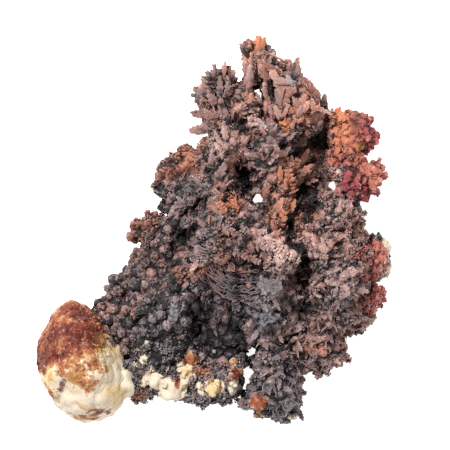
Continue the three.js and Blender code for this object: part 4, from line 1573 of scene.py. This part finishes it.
@dataclass
class Studio:
    """A pale floor, soft lights and a camera that looks straight down."""

    view_width: float = 112.5  # what the picture spans, at the specimen's mid height
    view_centre: tuple[float, float] = (2.75, 1.5)
    distance: float = 1000.0  # of the camera from the mid height
    sensor: float = 36.0
    floor_size: float = 4000.0
    floor_gap: float = 0.2
    floor_glow: float = 0.85
    air: float = 0.32  # strength of the even light from all round
    windows: tuple[Window, ...] = (
        Window("window_left", (-0.3, 0.35, 0.8), size=0.2, power=12.5),
        Window("window_right", (0.55, -0.2, 0.6), size=0.5, power=2.0),
    )

    def build(self) -> None:
        """Makes the floor, the lights and the camera."""
        low, high = CAD_BOX
        middle = Vector((*(c * MM for c in self.view_centre), (low.z + high.z) / 2))
        self.place_floor(low.z)
        self.place_camera(middle)
        for window in self.windows:
            window.hang(middle)
        scene = bpy.context.scene
        scene.world = bpy.data.worlds.new("studio_air")
        scene.world.use_nodes = True
        air = scene.world.node_tree.nodes["Background"].inputs
        air["Color"].default_value, air["Strength"].default_value = (1, 1, 1, 1), self.air
        scene.view_settings.view_transform = "Standard"
        scene.cycles.use_denoising = False

    def place_floor(self, level: float) -> None:
        """Lays a sheet of white paper under the specimen.

        Args:
            level: Height of the specimen's underside, in metres.
        """
        mesh = bmesh.new()
        bmesh.ops.create_grid(mesh, x_segments=8, y_segments=8, size=self.floor_size / 2 * MM)
        sheet = bpy.data.meshes.new("floor")
        mesh.to_mesh(sheet)
        mesh.free()
        floor = linked(bpy.data.objects.new("floor", sheet))
        floor.location.z = level - self.floor_gap * MM
        paint = Painter("paper_white")
        fibres = paint.add("TexNoise", paint.grains(1.5))
        sheet.materials.append(paint.finish({
            "Base Color": paint.add("ValToRGB", (fibres,), ((0.3, "#f6f5f3"), (0.7, "#fbfaf8"))),
            "Roughness": 0.9,
            "Emission Color": "#ffffff",
            "Emission Strength": self.floor_glow,
        }))

    def place_camera(self, middle: Vector) -> None:
        """Hangs the camera over the specimen, with a long lens.

        Args:
            middle: What it looks at, in metres.
        """
        lens = bpy.data.cameras.new("camera")
        lens.sensor_width = self.sensor
        lens.lens = self.sensor * self.distance / self.view_width
        lens.clip_end = 100.0
        camera = linked(bpy.data.objects.new("camera", lens))
        camera.location = middle + Vector((0, 0, self.distance * MM))
        bpy.context.scene.camera = camera


# ---------------------------------------------------------------- what is sown, and where
ALL_WAYS = {"lifts": (0, 90), "wander": 90, "roll": 90}  # for a form that is turned at random
LEAVES = Sowing(Form.LEAF, 2.4, (2.0, 4.2), lifts=(5, 50), roll=40)
TUFTS = Sowing(Form.TUFT, 2.7, (3.6, 6.2), lifts=(5, 40), roll=30, sink=0.05)
SPRIGS = Sowing(Form.SPRIG, 2.8, (2.2, 4.0), lifts=(5, 60), wander=40, roll=40)
FLORETS = Sowing(Form.FLORET, 1.9, (1.3, 2.8), sink=-0.1, **ALL_WAYS)
CRUMBS = Sowing(Form.CRUMB, 1.2, (0.5, 1.0), sink=0.0, variants=16, **ALL_WAYS)
NUGGETS = replace(CRUMBS, spacing=1.8, sizes=(1.4, 2.9))
CHIPS = Sowing(Form.LEAF, 1.45, (1.2, 2.6), lifts=(0, 80), wander=90, roll=60)
PLATES = Sowing(Form.PLATE, 4.6, (2.0, 3.6), lifts=(10, 70), wander=60, roll=40, variants=6)
GRAPES = Sowing(Form.GRAPE, 2.15, (2.0, 3.0), sink=-0.25, variants=12, **ALL_WAYS)

UPPER_TRUNK = ((8, 32, 10), (4, 22, 11), (16, 22, 11), (24, 20, 9), (-2, 12, 5))
CLUMP_FOOT = ((-17, -30, 4.5), (-11, -29, 5), (-4, -28, 4))
KNOB = ((17.2, -6.4, 3.6),)
STEM = ((18, 3, 2.5), (18.3, 7, 3.4), (18.5, 12, 3.6), (19, 17, 3.2), (23.5, 17, 3.5))
HERRINGBONE = ((5, -2, 6), (9, -6, 5), (5, 6, 4))
BAND_LUMPS = (
    (-15.8, -37.3, 2.5), (-10.6, -40.8, 3.4), (-17, -32.2, 1.3), (-6, -32.1, 1.7), (-7, -34.9, 1.9),
    (-7.2, -38, 1.5), (-3.7, -39, 1.4), (0, -39.3, 2.2), (4.8, -39.2, 1.6), (5, -33, 1.2), (-13, -38.4, 2.4),
)
TIP_LUMPS = ((44.2, -3.8, 2.7), (44.4, -10, 2.7))
GRANULAR = ((-34.5, -25, 6.5), (-39, -30, 6), (-31, -31.5, 5), (-33, -37, 2.5), (-43, -33, 2.5))
MINGLED = (
    (28.5, 22, 3.2), (27.5, 27.5, 3.0), (30, 15, 3.2), (31, 10, 3.0), (33, 18.6, 2.0), (37, -5, 2.2),
    (37, -17, 2.0),
)

# ---------------------------------------------------------------- stains of the stone pieces
# On calcite warmth is rust, bloom is ochre and rust is dirt. On cuprite warmth runs from brick red to orange,
# bloom is a pale glint, rust is ochre and the cavity shade is painted shade, dark as oxide.
NODULE_STAINS = stains(
    warmth=(
        (-35, -20.5, 5, 0.6, 0.7), (-41, -24.5, 3.5, 0.5), (-44.5, -30, 3, 0.6, 1.3),
        (-34, -25, 5.4, 1, 0.85), (-29.5, -27, 3.4, 0.9), (-36, -32, 4.4, 0.5), (-38.4, -29.4, 1.8, 0.8),
        (-30.5, -32.5, 4.4, 0.46), (-43, -32, 3, 0.8, 1.3), (-40, -25, 3.4, 0.7), (-31, -38.2, 2.8, 0.36),
        (-28.6, -36.4, 2.8, 0.34), (-33.8, -36.2, 2.2, 0.4), (-41, -38, 2.6, 0.35, 1.6),
        (-26, -31, 2.5, 0.22), (-33, -47, 4, 0.22, 0.5), (-37.4, -22, 1.5, 0.5, 0.8),
        (-28.7, -22.6, 1.4, 0.4, 0.7), (-30, -46, 1.6, 0.6, 0.6), (-26.5, -29, 1.6, 0.3, 1.6),
        (-40, -34.4, 1.6, 0.25, 1.4), (-23, -37.4, 3, 0), (-34.5, -26, 1.8),
    ),
    bloom=(
        (-24.8, -40.6, 2.6, 0.55, 0.8), (-26, -29.5, 3, 0.35, 1.4), (-41.5, -37, 1.8, 0.45, 1.6),
        (-35, -37, 2, 0.3),
    ),
    rust=(
        (-38, -38, 1.3, 0.8, 1.5), (-28, -45.2, 2.3, 1, 0.5), (-42.2, -31, 1.5, 0.85, 1.6),
        (-28, -23.8, 2.6, 0.6), (-40, -27.8, 1.3, 0.65), (-33.5, -30.5, 1.2, 0.55),
        (-32, -34.5, 1, 0.55, 1.6), (-30.4, -24.6, 1.2, 0.6),
    ),
)
BAND_STAINS = stains(
    warmth=(
        (-19, -41.5, 3, 0.95, 0.6), (-5.6, -31.4, 2.7, 0.66, 0.8), (-9, -38.2, 1.3, 0.75),
        (-16.6, -36.4, 1.6, 0.2), (-13.4, -38.8, 1.4, 0.12), (-3.2, -39.8, 1.6, 0.15),
        (5.5, -36, 1.8, 0.75, 0.8), (-5.8, -39.5, 1.4, 0.4), (5, -33, 1.4, 0.4), (-17, -32, 2, 0.25),
    ),
    bloom=((-7, -35.4, 1.9, 0.5), (0, -39.5, 2.4, 0.55)),
    rust=((-3, -34.5, 2, 0.8),),
)
BLOCK_STAINS = stains(
    warmth=((31.5, 26, 4.5, 0.9, 1.3), (39.5, 26, 3.4, 0.05, 1.4)),
    soot=((35.4, 28, 0.9, 0.8, 3),),
    rust=((36.5, 21, 1, 0.6),),
)
SPRAY_STAINS = stains(
    warmth=((34, 12, 3.4, 0.05), (40, 15, 3.5, 0.6), (38, 9, 3, 0.1)),
    bloom=((31, 15.3, 0.7), (30.5, 12, 0.7)),
)
KNOB_STAINS = stains(
    warmth=((41, -6, 3, 0.6),),
    bloom=((42.5, -9.5, 1, 0.4), (38, -8, 1.2, 0.3)),
    soot=((38.5, -10.5, 1, 0.5),),
)

# ---------------------------------------------------------------- what is planted one by one
KNOB_LOBES = (
    (15.2, -4.0, 2.6), (17.0, -4.6, 2.6), (16.2, -6.4, 3.2), (18.6, -5.8, 3.0), (20.3, -7.0, 2.4),
    (18.0, -8.2, 3.0), (16.4, -8.8, 2.4), (19.6, -8.8, 2.0), (14.4, -6.8, 2.2), (13.4, -3.6, 2.0),
    (17.6, -9.8, 1.8),
)
TRUNK_DETAILS = (
    # pale knob of rounded lobes, and the grey plates below it
    *planted("x y size", *KNOB_LOBES, form=Form.LUMP, rise=0.3, shade=0.8),
    *planted("x y size", *KNOB_LOBES, form=Form.FLORET, rise=0.7, shade=0.8),
    *planted(
        "x y size heading shade",
        (11, -13, 5.0, -20, 0.2), (14.5, -12.5, 4.4, -60, 0.3), (13, -20, 4.6, -90, 0.1),
        (20, -0.5, 3.6, -40, 0.9), (13.5, 17, 6.5, 80, 0.4), (4, -12.5, 3.0, -80, 0.0),
        (9, 26, 3.4, 60, 0.8), (6, -18, 3.0, -120, 0.1),
        form=Form.PLATE, lift=20, rise=0.6, light=0.6,
    ),
    # wiry bundles and the herringbone over them
    Strands(10, 4.8, 0.36, ((-3, -5), (-2.2, -8.5), (0.5, -12), (5, -14.2), (10, -14.6))),
    Strands(6, 2.6, 0.34, ((-1, -13), (3, -15.5), (8, -15.8), (12, -15.2))),
    Strands(7, 3.0, 0.34, ((1, -7), (3, -10.5), (7, -11.8), (12, -11))),
    Strands(5, 2.0, 0.32, ((12, -8), (14, -11.5), (16, -12.5))),
    Strands(6, 3.0, 0.34, ((-9, -6), (-5, -5), (-1, -6.5), (3, -9))),
    *planted(
        "x y size heading",
        (2, 1, 5.0, -25), (4, -1, 5.0, -35), (1.5, -3, 5.5, -30), (5, -4, 5.0, -40), (7.5, -1, 4.5, -30),
        (8, -6, 4.5, -30), (10, -3, 4.5, -20), (3, 4, 4.5, 120), (5.5, 4.5, 4.0, 100), (2.5, 8, 4.0, 140),
        form=Form.SPRIG, lift=5, rise=0.6, light=0.6, shade=0.7,
    ),
    # the stem's ribbed leaves, and its pink rosette
    *planted(
        "x y size heading light shade",
        (16.2, 0.5, 5.4, 74, 0.45, 0.8), (17.4, 3.2, 5.6, 90, 0.4, 0.9), (18.6, 7.2, 5.8, 80, 0.45, 0.7),
        (17.4, 9.4, 4.6, 104, 0.4, 0.8), (18.8, 11.6, 5.8, 94, 0.45, 0.9), (19.8, 14.0, 5.0, 72, 0.4, 0.6),
        (17.8, 16, 4.6, 98, 0.4, 0.7),
        form=Form.SPRIG, lift=5, rise=0.7,
    ),
    Planting(Form.FLORET, 17.5, 7, 2.4, rise=1.0, shade=0.8),
)
GRAPE_DETAILS = (
    # feathered silvery scales
    *planted(
        "form x y size heading light",
        (Form.LEAF, -6.4, -20.4, 5.6, 94, 0.7), (Form.SPRIG, -6.6, -20.2, 5.6, 92, 1.0),
        (Form.SPRIG, -5.8, -19.6, 4.8, 100, 0.9), (Form.LEAF, -9.6, -24.2, 7.0, 78, 0.7),
        (Form.SPRIG, -9.4, -24.2, 6.6, 76, 1.0), (Form.SPRIG, -10.2, -23, 5.4, 84, 0.9),
        (Form.LEAF, -8.6, -25.4, 4.6, 96, 0.7), (Form.SPRIG, -8.8, -26, 4.6, 92, 0.9),
        lift=8, rise=0.9, shade=0.3,
    ),
    # calcite at the clump's foot
    *planted(
        "x y size heading",
        (-17.9, -32.6, 2.4, 40), (-17.1, -31.6, 2.2, 60), (-18.8, -29.2, 2.2, 0), (-16.7, -27.8, 1.6, 20),
        (-17.4, -29.6, 1.4, 80),
        form=Form.CRUMB, shade=0.3, finish=1,
    ),
    *planted(
        "x y size",
        (-15.6, -34.4, 2.2), (-12.2, -34.4, 1.8), (-19.6, -33.4, 1.6),
        form=Form.FLORET, heading=0, shade=0.3, finish=1,
    ),
)
SPRAY_DETAILS = tuple(
    Planting(Form.LEAF, x, y, size, heading, lift=3, rise=-0.2, light=0.65, shade=(7 * x) % 1)
    for x, y, size, heading in (
        (-1.0, 33.6, 5.0, 174), (-1.4, 34.4, 4.2, 166), (-1.4, 29.8, 4.8, 180), (-1.6, 28.9, 4.2, 176),
        (-1.6, 26.0, 5.0, 186), (-1.8, 24.8, 4.6, 180), (-0.8, 35.6, 3.6, 136), (-0.6, 37, 3.4, 146),
        (0.6, 38.2, 3.8, 96), (1.2, 38.8, 3.6, 118), (2.4, 38.6, 4.0, 84), (4.2, 37.0, 3.4, 72),
        (1.6, 33.6, 5.4, 92), (3.0, 32.4, 5.0, 84), (0.2, 31.0, 5.0, 110), (2.2, 28.4, 5.0, 96),
    )
)
FOOT_DETAILS = (
    # calcite on the copper
    *planted(
        "x y size rise",
        (11.2, -43.2, 3.6, 0.4), (12.8, -42.2, 2.2, 0.4), (11.4, -45.4, 2.2, 0.5), (12.2, -46.4, 1.9, 0.5),
        (10.8, -46.6, 1.6, 0.5), (20, -46.8, 1.8, 0.5), (19.2, -47.2, 1.4, 0.5), (20.6, -47.6, 1.3, 0.5),
        form=Form.LUMP, finish=1,
    ),
    *planted(
        "form x y size heading lift rise light shade",
        (Form.LEAF, 17.0, -46.4, 5.0, 88, 5, 0.8, 0.9, 0.2),
        (Form.PLATE, 18.5, -42, 3.4, -60, 15, 0.5, 0.7, 0.2),
        (Form.PLATE, 14.5, -38.5, 3.6, 200, 15, 0.5, 0.6, 0.2),
        (Form.LEAF, 21, -44.5, 4.0, -70, 5, 0.5, 0.8, 0.3),
    ),
)
BAND_DETAILS = (
    *planted(
        "x y size rise",
        (-14.4, -37.7, 5.6, -0.6), (-16.6, -37.2, 3.6, -0.2), (-10.8, -39.6, 6.4, -0.8),
        (-8.4, -40.8, 3.8, -0.3), (-12.4, -40.6, 3.4, -0.3), (-6.9, -35.0, 4.0, -0.4),
        (-7.4, -37.8, 2.8, -0.2), (-0.6, -39.6, 3.6, -0.4), (1.5, -40.2, 2.6, -0.2),
        (-3.2, -39.8, 2.8, -0.3), (4.7, -38.2, 2.8, -0.2),
        form=Form.KNOLL,
    ),
    *planted(
        "x y size rise",
        (-17.8, -38.4, 2.0, 0.2), (-13.2, -36.0, 2.4, 0.2), (-12.4, -38.2, 2.2, 0.6), (-9.6, -42.2, 2.0, 0.0),
        (-6.4, -40.6, 2.2, 0.2), (-8.4, -33.2, 2.2, 0.4), (-8.6, -34.6, 1.8, 0.4), (-5.2, -36.8, 1.8, 0.3),
        (-1.8, -38.0, 2.0, 0.4), (0.8, -37.8, 1.8, 0.4), (-6.0, -34.2, 2.0, 0.9), (-7.6, -35.8, 2.0, 0.8),
        (-1.2, -40.4, 2.2, 0.6), (0.4, -39, 2.4, 0.8), (-3.8, -38.8, 1.8, 0.5), (-2.6, -40.8, 1.8, 0.4),
        (2.6, -41.6, 1.6, 0.2), (4.4, -39.8, 1.8, 0.3), (5.4, -36.4, 2.2, 0.5), (6.4, -35.2, 1.8, 0.5),
        (5, -33, 2.4, 0.5), (4.8, -34.8, 1.6, 0.5),
        form=Form.LUMP,
    ),
    *planted(
        "x y size heading rise shade",
        (-5.8, -31.7, 4.2, 40, 1.0, 0.2), (-5.2, -32.4, 3.2, 80, 0.8, 0.3),
        form=Form.CRUMB,
    ),
)
NODULE_DETAILS = planted(
    "x y size rise shade", (-22.8, -38.0, 7.4, -1.8, 0.3), (-27.4, -25.5, 5.0, -1.4, 0.5),
    form=Form.KNOLL, heading=0, lift=0,
)
TIP_DETAILS = planted(
    "x y size rise",
    (44.0, -4.4, 3.4, -0.4), (44.2, -9.6, 3.4, -0.4), (43.6, -3.2, 2.2, -0.2), (43.9, -10.8, 2.2, -0.2),
    (44.3, -3.4, 2.6, -1.8), (44.2, -5.4, 1.9, -2.2), (44.3, -9.4, 2.2, -2.0), (44.2, -11, 1.9, -1.2),
    (44.3, -7.4, 1.5, -1.7),
    form=Form.LUMP,
)


def leaves(*placed: Sequence[float]) -> tuple[Planting, ...]:
    """Gives a flat leaf for each x, y, length, heading, light and shade."""
    return planted("x y size heading light shade", *placed, form=Form.LEAF, lift=4, rise=0.6)


UPPER_LEAVES = leaves(
    (4.4, 18.5, 6.0, 88, 0.9, 0.8), (6.2, 19.5, 5.2, 80, 0.9, 0.7), (3.0, 22.5, 5.0, 98, 0.85, 0.6),
    (5.4, 23.4, 4.0, 85, 0.8, 0.9), (1.2, 12.8, 4.6, 72, 0.8, 0.1), (-1, 16, 4.5, 82, 0.8, 0.3),
    (10.4, 27.9, 4.6, -46, 0.9, 0.9), (8.2, 16.6, 3.6, 120, 0.7, 0.6), (19.6, 14.5, 4.6, 92, 0.5, 0.8),
    (17.2, 9, 4.4, 80, 0.5, 0.8), (20.4, 13.2, 5.6, 40, 0.45, 0.5), (21.8, 16.8, 4.4, 62, 0.45, 0.8),
    (18.6, 19.4, 4.4, 95, 0.5, 0.7), (20.6, 21, 4.6, 70, 0.5, 0.2), (15.6, 4.4, 4.4, 70, 0.5, 0.7),
    (16.6, 12.4, 4.8, 94, 0.55, 0.8), (20.8, 11.4, 4.6, 66, 0.4, 0.6), (17.6, 17.4, 4.2, 102, 0.5, 0.8),
    (22.6, 13.4, 4.6, 52, 0.35, 0.4), (11.6, 10.8, 4.6, 92, 0.6, 0.3), (12.8, 12.8, 4.4, 84, 0.65, 0.4),
    (11.2, 14.6, 4.4, 104, 0.6, 0.5), (13.6, 9.0, 4.6, 98, 0.6, 0.6), (14.6, 11.8, 4.8, 86, 0.65, 0.5),
)
FAN_LEAVES = leaves(
    (18.9, 33.4, 8.4, 127, 1.0, 0.7), (18.4, 35.6, 6.4, 119, 1.0, 0.9), (18.6, 31.6, 5.2, 133, 0.9, 0.5),
    (20, 34.2, 5.2, 114, 0.9, 0.6), (17.4, 30.4, 4.8, 118, 0.9, 0.3), (21.4, 30.4, 3.6, 122, 0.9, 0.3),
    (22.2, 29.4, 3.4, 64, 0.9, 0.8), (23.2, 30.8, 3.4, 108, 0.95, 0.5), (24.2, 29.2, 3.2, 46, 0.9, 1.0),
    (24.8, 30.0, 3.2, 98, 0.9, 0.7), (25.6, 27.8, 3.0, 42, 0.9, 0.9), (19.9, 29.2, 3.6, 130, 0.85, 0.5),
    (20.8, 28.0, 3.4, 74, 0.85, 0.2), (21.6, 24.2, 4.6, 54, 0.8, 0.1), (19.4, 25.4, 4.2, 80, 0.8, 0.7),
    (23.6, 25.6, 4.4, 62, 0.8, 0.5), (16.6, 27.6, 4.0, 112, 0.8, 0.4), (17.2, 28.4, 3.4, 66, 0.8, 0.8),
    (14.9, 27.6, 4.0, 108, 0.8, 0.3), (14.6, 30.2, 3.6, 78, 0.8, 0.6),
)
NEEDLE = Planting(Form.LEAF, 27.1, 27.4, 7.2, heading=84, lift=0, rise=0.2, light=0.25, shade=0.0)
SPIRE_LEAVES = leaves(
    (12.0, 27.4, 4.4, 106, 0.85, 0.4), (12.9, 29.8, 4.0, 74, 0.85, 0.6), (11.9, 31.4, 3.8, 114, 0.8, 0.2),
    (13.2, 33.0, 4.4, 98, 0.9, 0.5), (8.8, 35.6, 6.0, 88, 0.85, 0.5), (8, 38.6, 4.6, 96, 0.85, 0.4),
    (11.8, 38.2, 4.8, 86, 0.85, 0.8), (13.2, 40.6, 3.6, 70, 0.9, 0.4), (8.4, 43.6, 4.2, 118, 0.7, 0.1),
    (8.2, 45.0, 4.0, 84, 0.7, 0.0), (11, 45.2, 4.4, 84, 0.9, 0.8), (11.6, 45.4, 4.0, 72, 0.9, 0.6),
    (12.6, 42.8, 3.4, 34, 0.9, 0.6), (9.4, 41.2, 3.6, 92, 0.9, 0.9),
)


# ---------------------------------------------------------------- the specimen
def copper_pieces(copper: Material, calcite: Material) -> list[Piece]:
    """Lists the copper pieces with what grows on each.

    Args:
        copper: Finish of the copper.
        calcite: Finish of the calcite that grows on it.

    Returns:
        The pieces.
    """
    alone, mixed = (copper,), (copper, calcite)
    own = KNOB + STEM  # these have their own growth
    crumbly = (CRUMBS, replace(FLORETS, spacing=2.6), CHIPS, LEAVES, replace(SPRIGS, spacing=3.6), PLATES)
    long_leaves = replace(LEAVES, spacing=1.9, sizes=(3.5, 7.5), lifts=(0, 24), wander=15, overhang=0.12)
    leafy = (replace(CRUMBS, spacing=2.0), long_leaves, replace(TUFTS, spacing=4.0, sizes=(3.2, 5.0)))
    trunk = (
        replace(CRUMBS, spacing=1.5, bare=UPPER_TRUNK + own),
        replace(CRUMBS, spacing=2.2, within=UPPER_TRUNK),
        replace(FLORETS, spacing=2.5, bare=UPPER_TRUNK + own),
        replace(FLORETS, spacing=4.6, within=UPPER_TRUNK, bare=STEM),
        replace(CHIPS, spacing=1.95, bare=UPPER_TRUNK + HERRINGBONE + own),
        replace(TUFTS, spacing=3.0, within=UPPER_TRUNK, bare=STEM),
        replace(long_leaves, spacing=2.2, sizes=(3.0, 6.0), wander=25, within=UPPER_TRUNK, bare=STEM),
        replace(long_leaves, spacing=1.8, sizes=(2.5, 5.0), wander=18, lifts=(0, 15), within=STEM),
        replace(LEAVES, spacing=3.0, bare=UPPER_TRUNK + HERRINGBONE + own),
        replace(SPRIGS, spacing=2.2, sizes=(3.0, 5.0), wander=20, within=HERRINGBONE),
        replace(PLATES, bare=own),
    )
    blocky = (
        CRUMBS,
        NUGGETS,
        replace(FLORETS, spacing=2.6),
        replace(TUFTS, spacing=3.6, sizes=(2.6, 4.0), wander=25),
    )
    spiky = (
        CRUMBS,
        replace(FLORETS, spacing=2.8, sizes=(1.2, 2.0)),
        replace(long_leaves, spacing=1.9, sizes=(2.6, 4.8), wander=20),
        replace(TUFTS, spacing=3.6, sizes=(3.0, 4.4), wander=30, overhang=0.15),
    )
    grapes = (
        replace(GRAPES, bare=CLUMP_FOOT),
        replace(CRUMBS, spacing=1.6),
        replace(FLORETS, spacing=1.7, within=CLUMP_FOOT),
    )
    streaky = Crust(pole=(27, 22), lump=2.4, stretch=4, lump_height=2.2, gloom=0.2)
    spray = replace(streaky, pole=(6, 18), stretch=3.2, lump_height=2.8, light=0.8)
    spire = replace(streaky, pole=(10, 0), stretch=2.6, lump_height=2.6, gloom=0.12)
    clump = Crust(lump=2.3, lump_height=1.0, light=0.3, gloom=0.5)
    coarse = Crust(cell=0.58)
    trunk_details, fan_details = TRUNK_DETAILS + UPPER_LEAVES, (*FAN_LEAVES, NEEDLE)
    return [
        Piece("copper_trunk", "mauve_copper", 11, alone, coarse, trunk, 0.45, trunk_details),
        Piece("copper_right_mass", "mauve_copper", 12, alone, sowings=crumbly, warmth=0.5),
        Piece("copper_right_fan", "brown_copper", 13, alone, streaky, leafy, 0.75, fan_details),
        Piece("copper_spire", "brown_copper", 14, alone, spire, blocky, 0.65, SPIRE_LEAVES),
        Piece("copper_left_spray", "brown_copper", 15, alone, spray, spiky, 0.6, SPRAY_DETAILS),
        Piece("copper_left_shoulder", "brown_copper", 16, alone, sowings=crumbly, warmth=0.55),
        Piece("copper_grape_clump", "black_copper", 17, mixed, clump, grapes, 0.3, GRAPE_DETAILS),
        Piece("copper_left_arm", "brown_copper", 18, alone, sowings=crumbly, warmth=0.95),
        Piece("copper_foot", "black_copper", 19, mixed, sowings=crumbly, warmth=0.2, plantings=FOOT_DETAILS),
        Piece("copper_lower_fringe", "brown_copper", 20, alone, sowings=crumbly, warmth=0.5),
    ]


def stone_pieces(copper: Material, cuprite: Material, calcite: Material) -> list[Piece]:
    """Lists the calcite and cuprite pieces.

    Args:
        copper: Finish of the copper that grows on them.
        cuprite: Finish of the cuprite.
        calcite: Finish of the calcite.

    Returns:
        The pieces.
    """
    whites, reds = (calcite, copper), (cuprite, copper)
    pale = Crust(
        cell=0.45, easing=4, lump=3.8, lump_height=0.35, grain=1.0, grain_height=0.12,
        wave_height=1.0, swell=0.8, light=1.9, gloom=0.9,
    )
    lumpy = Crust(
        cell=0.45, lump=3.0, lump_height=1.6, grain=0.9, grain_height=0.2,
        wave=4.0, wave_height=0.7, light=1.0, gloom=0.7,
    )
    dark = replace(FLORETS, spacing=1.05, sizes=(1.2, 2.3), finish=1)
    granular = (
        replace(dark, sizes=(0.9, 1.6), within=((-24.5, -26, 3.0),)),
        replace(NUGGETS, spacing=1.0, sizes=(0.7, 1.7), sink=0.1, within=GRANULAR),
    )
    band_growth = (replace(dark, bare=BAND_LUMPS),)
    tip_growth = (replace(dark, bare=TIP_LUMPS, underside=1.0),)
    red = (
        replace(CRUMBS, spacing=1.0),
        NUGGETS,
        replace(FLORETS, spacing=2.8, sizes=(1.2, 2.2)),
        replace(FLORETS, spacing=1.6, finish=1, within=MINGLED),
        replace(CHIPS, spacing=1.6, finish=1, within=MINGLED),
    )
    return [
        Piece("calcite_nodule", "calcite", 21, whites, pale, granular, 0.0, NODULE_DETAILS, NODULE_STAINS),
        Piece(
            "calcite_band", "calcite", 22, whites, lumpy, band_growth, -0.15, BAND_DETAILS, BAND_STAINS,
            showing=BAND_LUMPS,
        ),
        Piece(
            "calcite_tips", "calcite", 23, whites, pale, tip_growth, -0.1, TIP_DETAILS, stains=(),
            showing=TIP_LUMPS,
        ),
        Piece("cuprite_block", "cuprite", 24, reds, sowings=red, warmth=0.7, stains=BLOCK_STAINS),
        Piece("cuprite_spray", "cuprite", 25, reds, sowings=red, warmth=0.4, stains=SPRAY_STAINS),
        Piece("cuprite_knob", "cuprite", 26, reds, sowings=red, warmth=0.35, stains=KNOB_STAINS),
        Piece("cuprite_point", "cuprite", 27, reds, sowings=red, warmth=0.35, stains=()),
    ]


def main() -> None:
    """Builds the specimen and its studio."""
    logging.basicConfig(level=logging.INFO, format="%(message)s")
    sky = Sky()
    copper, cuprite, calcite = (
        finish.material() for finish in (TarnishedCopper(), EarthyCuprite(), SugaryCalcite())
    )
    for piece in [*copper_pieces(copper, calcite), *stone_pieces(copper, cuprite, calcite)]:
        piece.make(sky)
    Studio().build()


if __name__ == "__main__":
    main()
